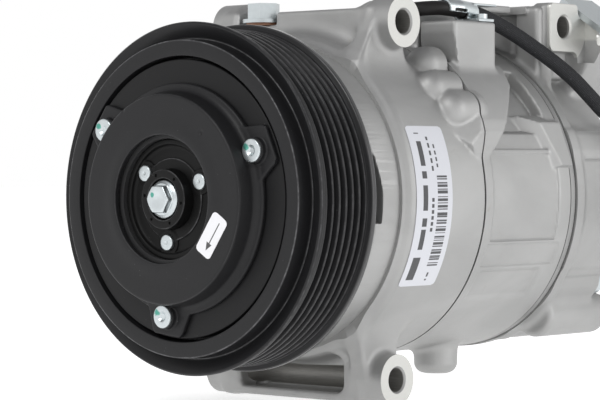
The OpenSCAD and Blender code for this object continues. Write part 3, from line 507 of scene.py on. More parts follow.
def steelFinish(name, colour=(0.50, 0.50, 0.51), rough=0.3):
    # ground steel with fine lines round the shaft
    paint = Paint(name)
    lines = paint.noise(1500, 2, 0.5, stretch=(0.4, 3, 0.4))
    cloud = paint.noise(90, 3, 0.5)
    return paint.done(Base_Color=paint.tint(colour, 0.9 + 0.15 * cloud), Roughness=rough + 0.12 * lines,
                      Metallic=1.0, Normal=paint.bump(lines, 0.00003, 0.4))


def mouldedFinish(name, colour, rough=0.5, grain=1200, depth=0.00006):
    # moulded rubber or plastic
    paint = Paint(name)
    cells = paint.noise(grain, 3, 0.6)
    cloud = paint.noise(80, 3, 0.5)
    return paint.done(Base_Color=paint.tint(colour, 0.85 + 0.3 * cloud), Roughness=rough + 0.14 * cells,
                      Metallic=0.0, Normal=paint.bump(cells, depth, 0.5))


def wireFinish(name):
    # enamelled copper wire, wound round the shaft
    paint = Paint(name)
    r = paint.length2(paint.x, paint.z)
    turn = (paint.y * 9000 + r * 4000).sine()
    base = paint.tint((0.30, 0.09, 0.03), 0.75 + 0.25 * turn)
    return paint.done(Base_Color=base, Roughness=0.3 - 0.05 * turn, Metallic=0.8,
                      Normal=paint.bump(turn, 0.0001, 0.6))


def low(node, axis):
    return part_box(node)[0][axis] / mm


def high(node, axis):
    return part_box(node)[1][axis] / mm


station = {
    "housingFront": high("coil_cup", 1),   # where the coil sits on the front housing
    "blockFront": low("cylinder_block", 1),
    "housingRear": high("front_housing", 1),
    "seamTwo": high("cylinder_block", 1),
    "headFront": low("rear_head", 1),
    "headRear": high("rear_head", 1),
    "bodyR": high("crankcase_gasket", 0) + 0.2,
}


cylinders = 6
boltCircle = {"r": 54.3, "phase": 20}
# lobes over the bolt holes: angle from +X, start on the front casting, end on the block, centre, radius
lobes = [(54, 68.5, 84, 60.6, 7.4), (42.8, 62.5, 84.5, 59.2, 6.9), (32.6, 65.5, 89, 60.0, 7.4)]
# height of the raised boss across the first seam, by the angle from +X
plateauRise = ([8, 14, 22, 26, 60], [59.6, 60.4, 65.0, 65.7, 65.9])
perDegree = 1.05          # millimetres round the body for each degree
frontPlan = {"topY": 53.38, "topZ": 64.5, "lowY": 49.58, "lowZ": -66.4, "earR": 9.4, "boreR": 4.4,
             "half": 43.5, "cell": 0.7, "bottom": -75.8}


def bodyOutline(y):
    # radius of the front casting along the shaft
    stations = [18.5, 20.5, 23, 34.5, 36, 37.6, 39.6]
    return np.interp(y, stations, [52.5, 54.8, 56.6, 57.4, 58.3, 59.7, 60.5])


def earArm(p, plan, y, z, side, slope):
    # round lug at the end of a bar, and the web that carries it
    lug = rod(p, 0, plan["earR"], side * 39 - 6.5, side * 39 + 6.5, y, z, 0.4)
    neck = rod(p, 0, plan["earR"] - 1.2, side * 34 - 6, side * 34 + 6, y, z, 1)
    up = 1 if z > 0 else -1
    lean = (np.maximum(y - 9.2 + slope * (p[2] * up - abs(z)), 36.2) - p[1]) / math.hypot(1, slope)
    web = corner(span(p[0] * side, 29.6, 37, 1.4), np.maximum(lean, p[1] - (y + 8.4)) + 1.4,
                 span(p[2] * up, 25, abs(z) + 1, 1.4)) - 1.4
    return melt(melt(lug, neck, 1.5), web, 3)


def frontField(p):
    plan = frontPlan
    r = np.hypot(p[0], p[2])
    end = station["housingRear"] + 1
    body = corner(r - bodyOutline(p[1]) + 1.2, span(p[1], station["housingFront"], end, 1.2)) - 1.2
    topY, topZ, lowY, lowZ = (plan[k] for k in ("topY", "topZ", "lowY", "lowZ"))
    bar = brick(p, (-38, topY - 8.2, 44), (34, topY + 8.2, topZ + 5.3), 1.3)
    for side, slope in ((1, 0.55), (-1, 0.3)):
        bar = melt(bar, earArm(p, plan, topY, topZ, side, slope), 3)
    bar = trim(bar, rod(p, 2, 9.6, 65, 90, -21, topY - 5, 0.2), 1)
    foot = brick(p, (-36, lowY - 8.4, lowZ - 8.6), (33, lowY + 8.2, -44), 1.6)
    foot = trim(foot, brick(p, (-27, lowY - 30, lowZ - 5.2), (24.5, lowY - 1.2, -40), 3.2), 1.5)
    for side in (1, -1):
        foot = melt(foot, earArm(p, plan, lowY, lowZ, side, 0.25), 3.5)
    shape = melt(body, melt(bar, foot, 0.5), 7)
    for angle, start, _, middle, size in lobes:
        q = swung(p, angle)
        shape = melt(shape, rod(q, 1, size, start, end + 14, middle, 0, size * 0.93), 1.3)
    angle = np.degrees(np.arctan2(p[2], p[0]))
    height = np.minimum(np.interp(angle, *plateauRise), 60 + np.maximum(p[1] - 67, 0) * 0.46)
    lowEdge = 12 + (80.4 - p[1]) * 0.85
    rib = corner(r - height, (lowEdge - angle) * perDegree, (angle - 31) * perDegree, 66 - p[1]) * 0.9 - 0.1
    shape = melt(shape, rib, 0.8)
    back = np.interp(angle, [-8, 3, 16], [25.2, 25.2, 22.8])
    pocket = corner(p[1] - back, 50 - r, np.abs(angle - 4) - 12.5) - 0.3
    return np.maximum(trim(shape, pocket, 0.6), plan["bottom"] - p[2])


blockPlan = {"railTop": 71.3, "padX": 45, "padTop": 66.4, "footAt": (12, 112.4), "footR": 8.3,
             "footZ": -69.4, "cell": 0.7}


def sidePanel(p, a0, a1, y0, y1, depth, side=1, edge=1.2):
    # shallow recess in the side, between two angles and two stations
    r = np.hypot(p[0], p[2])
    angle = np.degrees(np.arctan2(p[2], p[0] * side))
    wide = span(angle, a0, a1, 0) * math.radians(1) * 60.5 + edge
    along = np.maximum(y0 - p[1], p[1] - y1) + edge
    return corner(wide, along, station["bodyR"] - depth - r + edge) - edge


def blockField(p):
    plan = blockPlan
    y0, y1 = station["blockFront"] - 1, station["seamTwo"] + 1
    first = station["blockFront"] + 5.5
    shape = rod(p, 1, station["bodyR"], y0, y1, edge=0.3)
    r = np.hypot(p[0], p[2])
    for side in (1, -1):
        angle = np.degrees(np.arctan2(p[2], p[0] * side))
        start, floor = 96, 58.9
        if side > 0:
            start = np.interp(angle, [17, 27.4, 40.3, 50], [89, 97, 109, 114])
            floor = np.interp(angle, [16.5, 24, 26.5, 56], [58.7, 58.7, 55.6, 55.2])
        # between two angles, each degree being 1.056 mm round the body
        walls = ((17.6 - angle) * 1.056, (angle - 53) * 1.056, start - p[1], p[1] - y1 + 7.5, floor - r)
        hollow = corner(*(w + 0.6 for w in walls)) - 0.6
        shape = trim(shape, hollow, 0.9)
        for a0, a1, front, back, depth, edge, blend in (
                (-15.8, 15.8, 0, 8.4, 0.8, 0.5, 0.5), (-25.5, -17, 1, 5, 0.6, 0.5, 0.5),
                (-39, -27.6, 0, 12, 1.1, 1.1, 1.6)):
            panel = sidePanel(p, a0, a1, first - front, y1 - back, depth, side, edge)
            shape = trim(shape, panel, blend)
    angle = np.degrees(np.arctan2(p[2], p[0]))
    top = np.interp(angle, *plateauRise) - 0.1
    end = np.interp(angle, [9, 16.9, 27.4, 40.3, 48], [80, 87.6, 97.0, 109.5, 113])
    plateau = corner(r - top + 0.3, (p[1] - end + 0.3) * 0.85, (angle - 50) * perDegree,
                     (9 - angle) * perDegree, 52 - r) - 0.3
    shape = melt(shape, plateau, 1.0)
    pad = brick(p, (28, station["blockFront"] + 1.5, 40), (plan["padX"], 107.5, plan["padTop"]), 1.2)
    pad = np.maximum(pad, (83.2 - p[1] - (p[2] - 55) * 0.16) * 0.98)
    rail = brick(p, (11, 86, 45), (24, y1, plan["railTop"]), 1.4)
    shelf = brick(p, (12, 110, 71.4), (31.5, y1, 74.4), 0.9)
    shape = melt(shape, gathered(pad, (rail, 1.5), (shelf, 1.2)), 2.2)
    for lobeAngle, _, back, middle, size in lobes:
        q = swung(p, lobeAngle)
        shape = melt(shape, rod(q, 1, size, 64, back, middle, 0, size * 0.9), 0.9)
    q = swung(p, 21)
    slope = (120.6 - 0.35 * q[2] - p[1]) * 0.75 + (q[0] - 57.5) * 0.66
    ramp = corner(slope + 0.4, np.abs(q[2] - 0.4) - 10.8, q[0] - 61.2, r - 63.4, 50 - q[0]) - 0.4
    side = (q[2] - 11 + (q[0] - 57) * 0.9) * 0.7
    shape = melt(shape, np.maximum(ramp, side), 0.8)
    fx, fy = plan["footAt"]
    draft = np.hypot(p[0] - fx, p[1] - fy) - (plan["footR"] - 4 + (p[2] + 69.4) * 0.035)
    foot = corner(draft, plan["footZ"] + 4 - p[2], p[2] + 45) - 4
    return melt(shape, foot, 3)


headPlan = {"rearY": 152.48, "rearZ": 66.5, "padX": 45, "farX": 43.5, "boreR": 4.4, "seat": 171.58,
            "cell": 0.8, "tilt": 33, "portR": 83.5, "tube": (36, -47, 9), "bracket": (174.58, -8)}


def headField(p):
    plan = headPlan
    y0, y1 = station["headFront"] - 1, station["headRear"]
    bodyR, seat = station["bodyR"], plan["seat"]
    r = np.hypot(p[0], p[2])
    radius = np.interp(p[1], [y0, 143.5, 145.5, seat + 1, seat + 5, y1 - 3, y1],
                       [bodyR, bodyR, 58, 57, 45, 41.5, 39])
    shape = corner(r - radius + 1.5, span(p[1], y0, y1, 1.5)) - 1.5
    flank = np.maximum(brick(p, (30, y0, -28), (66, seat - 2, 25), 1.8), r - bodyR)
    flank = trim(flank, brick(p, (58.2, 147, 14), (70, 190, 15.4), 0.5), 0.5)
    shape = gathered(shape, (rod(p, 1, bodyR, y0, 144, edge=0.3), 1.5), (flank, 2))
    for k in range(cylinders):
        q = swung(p, boltCircle["phase"] + 60 * k)
        shape = melt(shape, np.maximum(rod(q, 1, 8.6, y0, seat + 0.6, 52.4, 0, 1), r - bodyR), 2.5)
    tubeX, tubeZ, tubeR = plan["tube"]
    tube = rod(p, 1, tubeR, y0 + 6, y1 - 2, tubeX, tubeZ, 2)
    boss = rod(swung(p, -66), 1, 6.2, y0 + 2, y1 - 12, 55.5, 0, 2)
    shape = gathered(shape, (tube, 3.5), (boss, 2.5))
    ey, ez = plan["rearY"], plan["rearZ"]
    bar = brick(p, (-42, ey - 7.4, 46), (41, ey + 7.4, ez + 6.6), 1.5)
    ear = brick(p, (36, ey - 9.4, ez - 9.9), (plan["padX"] + 0.8, ey + 9.4, ez + 9.4), 1.8)
    farEar = brick(p, (-44.3, ey - 9.4, ez - 9.4), (-36, ey + 9.4, ez + 9.4), 2.4)
    web = corner(span(np.abs(p[0]), 26, 33.5, 1.5), span(p[1], ey - 8, ey + 8, 1.5),
                 span(p[2], 30, ez, 1.5)) - 1.5
    column = brick(p, (30, 140, 38), (41.5, 150, 74.5), 2)
    lintel = brick(p, (12, y0, 71.4), (36, ey + 4, 74.4), 0.9)
    bar = gathered(bar, (ear, 1.2), (farEar, 2), (web, 2.5), (column, 1), (lintel, 1))
    q = swung(p, 90 - plan["tilt"])
    port = brick(q, (40, y0 + 24, -13), (plan["portR"], y1 - 1, 13), 1.6)
    pad = rod(p, 0, 7, 40, bodyR - 0.5, *plan["bracket"], 0.6)
    shape = gathered(shape, (bar, 3), (port, 3.5), (pad, 2))
    for angle in (118, 150, 185, 215, 250, 300, 330):
        q = swung(p, angle)
        fin = corner(np.abs(q[2]) - 1.4, q[0] - 58.6, 20 - q[0], span(p[1], 146, seat + 6, 1)) - 1
        shape = melt(shape, fin, 2.5)
    return shape


def ringOf(count, r, phase):
    # points evenly round the shaft, as (x, z)
    angles = [math.radians(phase + 360 * k / count) for k in range(count)]
    return [(r * math.cos(a), r * math.sin(a)) for a in angles]


def section(r0, r1, y0, y1):
    # outline of a plain ring or hole
    return [(r0, y0), (r1, y0), (r1, y1), (r0, y1)]


def drill(piece, profile, turns, spots=((0, 0),)):
    # cuts a turned shape along the shaft, or on lines beside it
    carve(piece, joined("drill", [lathe("drill", profile, 0, turns=turns, centre=s) for s in spots]))


def drillAcross(piece, profile, turns, axis, place):
    # the same along X or Z through a place
    carve(piece, swungTo(lathe("drill", profile, 0, turns=turns), axis, place))


def earBore(piece, y, z, x0, x1, r, chamfer=0.7):
    # a hole along X with a chamfer at each open face
    profile = [(0, x0 - 2), (r + chamfer, x0 - 2), (r + chamfer, x0), (r, x0 + chamfer),
               (r, x1 - chamfer), (r + chamfer, x1), (r + chamfer, x1 + 2), (0, x1 + 2)]
    drillAcross(piece, profile, 72, "x", (0, y, z))


def blindBore(piece, side, y, z, face, depth, cone, r, chamfer=0.7):
    # a tapped hole from one lug towards the middle
    profile = [(0, face - depth), (r, face - depth + cone), (r, face - chamfer), (r + chamfer, face),
               (r + chamfer, face + 2), (0, face + 2)]
    drillAcross(piece, [(a, side * b) for a, b in profile], 72, "x", (0, y, z))


def faceOff(piece, side, x, y, z):
    # mills a lug flat at a distance from the middle plane
    xs = sorted((side * x, side * (x + 9)))
    points = [(a, b, c) for a in xs for b in (y - 14, y + 14) for c in (z - 14, z + 14)]
    faces = [(0, 1, 3, 2), (4, 6, 7, 5), (0, 4, 5, 1), (2, 3, 7, 6), (0, 2, 6, 4), (1, 5, 7, 3)]
    carve(piece, meshPiece("mill", points, faces))


def seamCut(piece, y, way, r, bevel):
    # faces a casting at a seam and bevels its rim; way is 1 at its rear end and -1 at its front
    profile = [(0, y), (r, y), (r + bevel, y - way * bevel), (90, y - way * bevel), (90, y + way * 20),
               (0, y + way * 20)]
    drill(piece, profile[::way], 360)


def arcSlot(r0, r1, a0, a1, y0, y1, steps):
    # cutter for a curved slot through a disc, between two angles
    rim = [(r * math.cos(math.radians(a)), r * math.sin(math.radians(a)))
           for r, angles in ((r1, np.linspace(a0, a1, steps)), (r0, np.linspace(a1, a0, steps)))
           for a in angles]
    n = len(rim)
    points = [(x, y, z) for y in (y0, y1) for x, z in rim]
    faces = [list(range(n))[::-1], list(range(n, 2 * n))]
    faces += [(i, (i + 1) % n, n + (i + 1) % n, n + i) for i in range(n)]
    return meshPiece("slot", points, faces)


def makeFrontHousing():
    plan = frontPlan
    rear, half, r = station["housingRear"], plan["half"], plan["boreR"]
    top, bottom = (plan["topY"], plan["topZ"]), (plan["lowY"], plan["lowZ"])
    piece = skin("front_casting", frontField, (-61, 17.5, -76.2), (63.5, rear + 1, 76), plan["cell"])
    seamCut(piece, rear, 1, 59, 0.3)
    drill(piece, section(56.5, 90, 10, 34.98), 360)
    for side in (-1, 1):
        faceOff(piece, side, half, *top)
        faceOff(piece, side, half, *bottom)
    earBore(piece, *bottom, -half, half, r)
    blindBore(piece, 1, *top, half, 30, 1, r)
    blindBore(piece, -1, *top, half, 12, 0.5, r)
    nose = [(0, -13.6), (20, -13.6), (20, 13), (21.5, 13), (21.5, 21), (0, 21)]
    carve(piece, lathe("nose", nose, 0.3, turns=120), "UNION")
    inside = [(0, -16), (15, -16), (15, 9.58), (9, 9.58), (9, 23.6), (11, 23.6), (11, 40.98), (50, 40.98),
              (50, rear + 3), (0, rear + 3)]
    for profile in (inside, section(19.1, 25, -12.7, -11), section(20.5, 26, 15.2, 16.6)):
        drill(piece, profile, 120)
    drill(piece, section(0, 3.1, 56.4, rear + 2), 48, ringOf(cylinders, *boltCircle.values()))
    drillAcross(piece, section(0, 3.05, -72, -58.5), 48, "z", (-21, plan["topY"] - 5, 0))
    notch = skin("notch", lambda p: brick(swung(p, 140), (35.5, 13, -5.6), (62, 23, 5.6), 0.8),
                 (-52, 12, 15), (-20, 24, 50), 0.8)
    carve(piece, notch)   # way out of the coil's lead
    return piece


def makeBlock():
    y0, y1 = station["blockFront"], station["seamTwo"]
    piece = skin("block_casting", blockField, (-61, y0 - 1, -70), (64.5, y1 + 1, 75), blockPlan["cell"])
    seamCut(piece, y0, -1, 59, 0.3)
    seamCut(piece, y1, 1, 59.2, 0.2)
    drill(piece, section(0, 14.55, y0 - 2, y1 + 2), 96, ringOf(cylinders, 35, 50))
    drill(piece, section(0, 3.3, y0 - 2, y1 + 2), 48, ringOf(cylinders, *boltCircle.values()))
    drill(piece, section(0, 11, y0 - 2, 115.4), 96)
    return piece


def makeHead():
    plan = headPlan
    y0, y1, seat = station["headFront"], station["headRear"], plan["seat"]
    ear = (plan["rearY"], plan["rearZ"])
    piece = skin("head_casting", headField, (-60.5, y0 - 1, -61), (62, y1, 80), plan["cell"])
    seamCut(piece, y0, -1, 59.2, 0.2)
    faceOff(piece, 1, plan["padX"], *ear)
    faceOff(piece, -1, plan["farX"], *ear)
    earBore(piece, *ear, -plan["farX"], plan["padX"], plan["boreR"])
    boltHole = [(0, y0 - 1), (3.3, y0 - 1), (3.3, seat), (5.7, seat), (5.7, y1 + 9), (0, y1 + 9)]
    drill(piece, boltHole, 48, ringOf(cylinders, *boltCircle.values()))
    drill(piece, section(27, 48, y0 - 1, y0 + 20), 96)                 # suction room
    drill(piece, section(0, 23, y0 - 1, y0 + 14), 96)                  # discharge room
    drill(piece, section(0, 8.2, y1 - 26, y1 + 1), 72)                 # control valve
    drill(piece, section(0, 5.6, y1 - 12, y1 + 1), 48, [(-24, 18)])    # relief valve
    drillAcross(piece, section(0, 2.5, 48, 61.5), 40, "x", (0, *plan["bracket"]))
    return piece


pulleyPlan = {"half": 13.98, "r": 63.2, "ribR": 61.25, "grooveR": 58.35, "pitch": 3.56, "grooves": 6,
              "crest": 0.8, "root": 0.9, "face": -13.78, "lipFront": -19.88, "lipIn": 50.8, "lipOut": 56.6,
              "shellR": 54.75, "web": -8.58, "seatR": 28.5, "seatRear": 13}
rivets = {"big": ringOf(3, 42, 24), "small": ringOf(3, 15.5, 24)}


def makePulley():
    plan = pulleyPlan
    r, half, face, ribR = plan["r"], plan["half"], plan["face"], plan["ribR"]
    lipFront, root = plan["lipFront"], plan["root"]
    first = -plan["pitch"] * plan["grooves"] / 2
    flank = (plan["pitch"] - plan["crest"]) / 2
    outline = [(plan["seatR"], face), (plan["lipIn"], face, 0.8), (plan["lipIn"], lipFront, 0.5),
               (plan["lipOut"], lipFront, 0.4), (plan["lipOut"], -12.4, 0.9), (62.5, -15.7, 0.5),
               (r, -15.0, 0.4), (r, -13.9, 0.4), (ribR, first - 1.1, 0.3)]
    for i in range(plan["grooves"]):
        y = first + plan["pitch"] * (i + 0.5)
        outline += [(ribR, y - flank, 0.25), (plan["grooveR"], y - root / 2, 0.2),
                    (plan["grooveR"], y + root / 2, 0.2), (ribR, y + flank, 0.25)]
    outline += [(ribR, -first + 0.6, 0.3), (r, 11.8, 0.4), (r, half, 0.5), (plan["shellR"], half, 0.5),
                (plan["shellR"], plan["web"], 1), (33.5, plan["web"], 1), (33.5, plan["seatRear"]),
                (plan["seatR"], plan["seatRear"])]
    piece = lathe("pulley_body", outline, 0.3, steps=4, turns=360, smoothBelow=50)
    for k in range(6):
        carve(piece, arcSlot(43, 46, 60 * k + 8, 60 * k + 52, -15, -6, 16), smoothBelow=50)
    return piece


coverPlan = {"plate": -20.98, "dome": -28.98, "wellR": 22.7, "ringR": 41.2, "rivetR": 42, "phase": 24,
             "dents": [(-19.1, 31.7, 1.3, 0.5), (19.3, 23.2, 1.1, 0.6)]}


def coverFace(r):
    # station of the dome's front, slightly raised round the well
    return coverPlan["dome"] - 0.35 * np.exp(-((r - 24.5) / 3.2) ** 2) + 0.0009 * np.maximum(r - 28, 0) ** 2


def coverField(p):
    plan = coverPlan
    r = np.hypot(p[0], p[2])
    top, plate, back = plan["dome"], plan["plate"], plan["plate"] + 2
    outer = np.interp(p[1], [top, plate - 1.5, plate], [37.2, 38.1, 38.6])
    dome = corner(r - outer + 0.8, coverFace(r) - p[1] + 0.8, p[1] - plate - 1) - 0.8
    ring = corner(r - plan["ringR"] + 0.7, span(p[1], plate, back, 0.7)) - 0.7
    shape = melt(dome, ring, 2.4)
    for k in range(3):
        q = swung(p, plan["phase"] + 120 * k)
        side = (np.abs(q[2]) - (9.8 - (q[0] - 40.5) * 0.36)) / 1.06
        lobe = corner(side + 0.6, q[0] - 48.9 + 0.6, 34 - q[0], span(p[1], plate, back, 0.6)) - 0.6
        clipCorner = (q[0] + np.abs(q[2]) * 0.9 - 54.2) / 1.35
        shape = melt(shape, np.maximum(lobe, clipCorner), 0.8)
        away = np.hypot(q[0] - plan["rivetR"], q[2])
        boss = corner(away - 4.5 + 0.4, plate - 2.1 - p[1] + 0.4, p[1] - back) - 0.4
        shape = melt(shape, boss, 0.7)
    shape = trim(shape, r - plan["wellR"], 0.5)
    inner = corner(r - 34.7 + 0.5, top + 2 - p[1] + 0.5) - 0.5
    shape = trim(shape, inner, 0.6)
    shape = np.maximum(shape, p[1] - back)
    for dx, dz, size, depth in plan["dents"]:
        dent = np.sqrt((p[0] - dx) ** 2 + (p[2] - dz) ** 2 + (p[1] - top + size - depth + 0.1) ** 2) - size
        shape = trim(shape, dent, 0.3)
    return shape


def makeCover():
    piece = skin("domed_cover", coverField, (-49.6, -29.8, -49.6), (49.6, -18.6, 49.6), 0.4)
    drill(piece, section(0, 2.6, -30, -17), 48, rivets["big"])
    return piece


def makeArmature():
    outline = [(27, -18.98), (49.7, -18.98, 0.6), (49.7, -14.18, 0.3), (27, -14.18)]
    piece = lathe("armature_disc", outline, 0.3, turns=300)
    for k in range(3):
        carve(piece, arcSlot(38.4, 40.8, 120 * k + 42, 120 * k + 126, -20, -13, 24))
    rivetHole = [(0, -21), (2.6, -21), (2.6, -15.58), (3.8, -15.58), (3.8, -13), (0, -13)]
    drill(piece, rivetHole, 48, rivets["big"])
    return piece


innerPlan = {"floor": -23.58, "cupR": 21.4, "rise": -24.6, "flangeR": 14.6, "lobeR": 4.6, "holeR": 10.62}


def innerField(p):
    plan = innerPlan
    r = np.hypot(p[0], p[2])
    floor = plan["floor"]
    shape = corner(r - plan["cupR"] + 0.6, span(p[1], floor + 0.7, floor + 2, 0.6)) - 0.6
    wall = corner(np.abs(r - plan["cupR"] + 1) - 1 + 0.5, span(p[1], plan["rise"], floor + 2, 0.5)) - 0.5
    shape = melt(shape, wall, 1.6)
    raised = corner(r - plan["flangeR"] + 0.4, span(p[1], floor, floor + 1.5, 0.4)) - 0.4
    for x, z in rivets["small"]:
        raised = melt(raised, rod(p, 1, plan["lobeR"], floor, floor + 1.5, x, z, 0.4), 1.2)
    shape = melt(shape, raised, 0.3)
    return np.maximum(shape, plan["holeR"] - r)


def makeInner():
    piece = skin("inner_dish", innerField, (-21.5, -26.7, -21.5), (21.5, -21.5, 21.5), 0.28)
    drill(piece, section(0, 1.6, -30, -19), 48, rivets["small"])
    return piece


def makeHub():
    outline = [(5.85, -21.5), (5.85, -13.1), (10.6, -13.1), (10.6, -19.2), (19.5, -19.18),
               (19.5, -21.58), (10.6, -21.58), (10.6, -28.08, 0.5), (7.4, -28.08, 0.4), (7.4, -25.48),
               (3.2, -25.48), (3.2, -21.5)]
    piece = lathe("hub_core", outline, 0.2, turns=180)
    drill(piece, section(0, 1.6, -24, -17), 48, rivets["small"])
    drill(piece, [(0, -29), (1.0, -29), (0.35, -27.5), (0, -27.5)], 20, ringOf(6, 9.0, 52))   # punch marks
    return piece


def rivetHeads(name, spots, seat, headR, thick, shankR, back, dimple, turns=72):
    # countersunk mark in a flat head with a soft edge, on a plain shank
    top, (markR, markDepth) = seat - thick, dimple
    outline = [(0, top + markDepth, 0), (markR * 0.5, top + markDepth, 0.2), (markR, top, 0.25),
               (headR, top, min(0.8, thick * 0.6)), (headR, seat, 0.15), (shankR, seat, 0),
               (shankR, back, 0.2), (0, back)]
    return joined(name, [lathe(name, outline, 0.2, turns=turns, centre=s) for s in spots])


def hexHead(name, flats, y0, y1, flangeR, flangeY, stemR, stemY, cell, dimple=0.6):
    # flange bolt along the shaft, its head towards -Y
    def field(p):
        r = np.hypot(p[0], p[2])
        sides = [np.abs(p[0] * math.cos(a) + p[2] * math.sin(a)) - (flats / 2 - 0.25)
                 for a in np.radians((30, 90, 150))]
        cone = (r - flats * 0.47 + (y0 - p[1]) * 1.7 + 0.25) / 1.97
        head = corner(*sides, cone, y0 - p[1] + 0.25, p[1] - y1 - 1 + 0.25) - 0.25
        dish = np.sqrt(r ** 2 + (p[1] - y0 + 8) ** 2) - (8 + dimple * 0.5)
        head = trim(head, dish, 0.5)
        rim = np.interp(p[1], [y1 - 0.2, y1 + 0.6, flangeY], [flats * 0.62, flangeR, flangeR])
        flange = corner((r - rim) * 0.8 + 0.2, span(p[1], y1 - 0.4, flangeY, 0.2)) - 0.2
        shape = melt(head, flange, 0.6)
        return np.minimum(shape, rod(p, 1, stemR, flangeY - 1, stemY, edge=0.3))
    reach = flangeR + 0.2
    return skin(name, field, (-reach, y0, -reach), (reach, stemY, reach), cell)


labelPlan = {"y": 49.9, "angle": -3.0, "r": 60.57, "long": 60.399, "wide": 20.8, "round": 1.6, "thick": 0.1}
arrowPlan = {"middle": (24.7, -12.3), "tilt": 55.5, "long": 16.0, "wide": 7.4, "round": 1.5, "thick": 0.12}


def filmPatch(name, plan, place, steps=(72, 32)):
    # thin film with round corners, where place(u, v, lift) gives a point
    long, wide, radius = plan["long"], plan["wide"], plan["round"]
    points, faces = [], []
    nu, nv = steps
    for lift in (0, plan["thick"]):
        for i in range(nu + 1):
            u = (i / nu - 0.5) * long
            inset = max(0, abs(u) - (long / 2 - radius))
            half = wide / 2 - radius + math.sqrt(max(radius ** 2 - inset ** 2, 0.0004))
            points += [place(u, (j / nv * 2 - 1) * half, lift) for j in range(nv + 1)]
    row, layer = nv + 1, (nu + 1) * (nv + 1)
    for i in range(nu):
        for j in range(nv):
            a = i * row + j
            faces.append((a, a + row, a + row + 1, a + 1))
            faces.append((layer + a, layer + a + 1, layer + a + row + 1, layer + a + row))
    rim = [i * row for i in range(nu + 1)] + [nu * row + j for j in range(1, row)]
    rim += [i * row + nv for i in range(nu - 1, -1, -1)] + list(range(nv - 1, 0, -1))
    for k, a in enumerate(rim):
        b = rim[(k + 1) % len(rim)]
        faces.append((a, b, layer + b, layer + a))
    return meshPiece(name, points, faces, 40)


def ratingPlace(u, v, lift):
    angle = math.radians(labelPlan["angle"]) + u / labelPlan["r"]
    r = labelPlan["r"] + lift
    return r * math.cos(angle), labelPlan["y"] + v, r * math.sin(angle)


def arrowPlace(u, v, lift):
    a = math.radians(arrowPlan["tilt"])
    x = arrowPlan["middle"][0] + u * math.cos(a) - v * math.sin(a)
    z = arrowPlan["middle"][1] + u * math.sin(a) + v * math.cos(a)
    return x, coverFace(math.hypot(x, z)) - 0.03 - lift, z


def stripe(u, v, u0, u1, v0, v1, soft=0.06):
    # 1 inside a rectangle on a label, in millimetres
    inside = u.rise(u0 - soft, u0 + soft) * (1 - u.rise(u1 - soft, u1 + soft))
    return inside * v.rise(v0 - soft, v0 + soft) * (1 - v.rise(v1 - soft, v1 + soft))


def ratingFinish():
    # white film with plain bars where such a label has its print
    paint = Paint("rating_film")
    u = paint.add("ShaderNodeMath", {"operation": "ARCTAN2"}, [paint.z, paint.x]) * labelPlan["r"]
    u = u - math.radians(labelPlan["angle"]) * labelPlan["r"]
    v = paint.y / mm - labelPlan["y"]
    dashes = ((u * 0.42).sine() * 0.5 + (u * 1.13 + 1).sine() * 0.5).rise(-0.42, -0.34)
    code = (u * 5.1).sine() + (u * 8.7 + 0.6).sine() * 0.8 + (u * 2.3 + 1.4).sine() * 0.9
    inks = [stripe(u, v, -27.5, -18.5, -7.6, -3.4), stripe(u, v, -15.5, 27.5, -6.6, -3.9) * dashes,
            stripe(u, v, -22, 11.5, 1.7, 7.6, 0.04) * code.rise(-0.18, -0.1)]
    # rows of short dashes: rectangle, dashes to the millimetre, offset, and where a dash begins and ends
    for area, rate, offset, rise in (((-9, 4, -1.6, -0.2), 2.9, 0, (-0.5, -0.3)),
                                     ((13, 26, -0.6, 0.5), 2.2, 2, (-0.5, -0.3)),
                                     ((14.5, 24, 2.4, 3.3), 2.6, 0, (-0.5, -0.3)),
                                     ((-28, -24, 3.4, 4.4), 2.4, 0, (-0.6, -0.4))):
        inks.append(stripe(u, v, *area) * (u * rate + offset).sine().rise(*rise))
    fibre = paint.noise(900, 3, 0.6)
    paper = paint.tint((0.60, 0.61, 0.65), 0.97 + 0.05 * fibre)
    base = paint.mix(reduce(Wire.most, inks) * (0.97 - 0.06 * fibre), paper, (0.018, 0.018, 0.02))
    return paint.done(Base_Color=base, Roughness=0.34 + 0.08 * fibre, Metallic=0.0,
                      Normal=paint.bump(paint.noise(160, 2, 0.5), 0.0001, 0.25))


def arrowFinish():
    # white film with one plain arrow
    paint = Paint("arrow_film")
    a = math.radians(arrowPlan["tilt"])
    x = paint.x / mm - arrowPlan["middle"][0]
    z = paint.z / mm - arrowPlan["middle"][1]
    u = x * math.cos(a) + z * math.sin(a)
    v = z * math.cos(a) - x * math.sin(a) + 0.6
    shaft = stripe(u, v, -3.2, 5.6, -0.22, 0.22)
    head = (1 - (abs(v) - (u + 5.9) * 0.42).rise(-0.06, 0.06)) * (1 - u.rise(-2.95, -2.8))
    ink = shaft.most(head * u.rise(-6.0, -5.9))
    fibre = paint.noise(900, 3, 0.6)
    base = paint.mix(ink * 0.95, paint.tint((0.76, 0.76, 0.78), 0.97 + 0.04 * fibre), (0.03, 0.03, 0.03))
    return paint.done(Base_Color=base, Roughness=0.36 + 0.08 * fibre, Metallic=0.0,
                      Normal=paint.bump(paint.noise(300, 2, 0.5), 0.00006, 0.25))


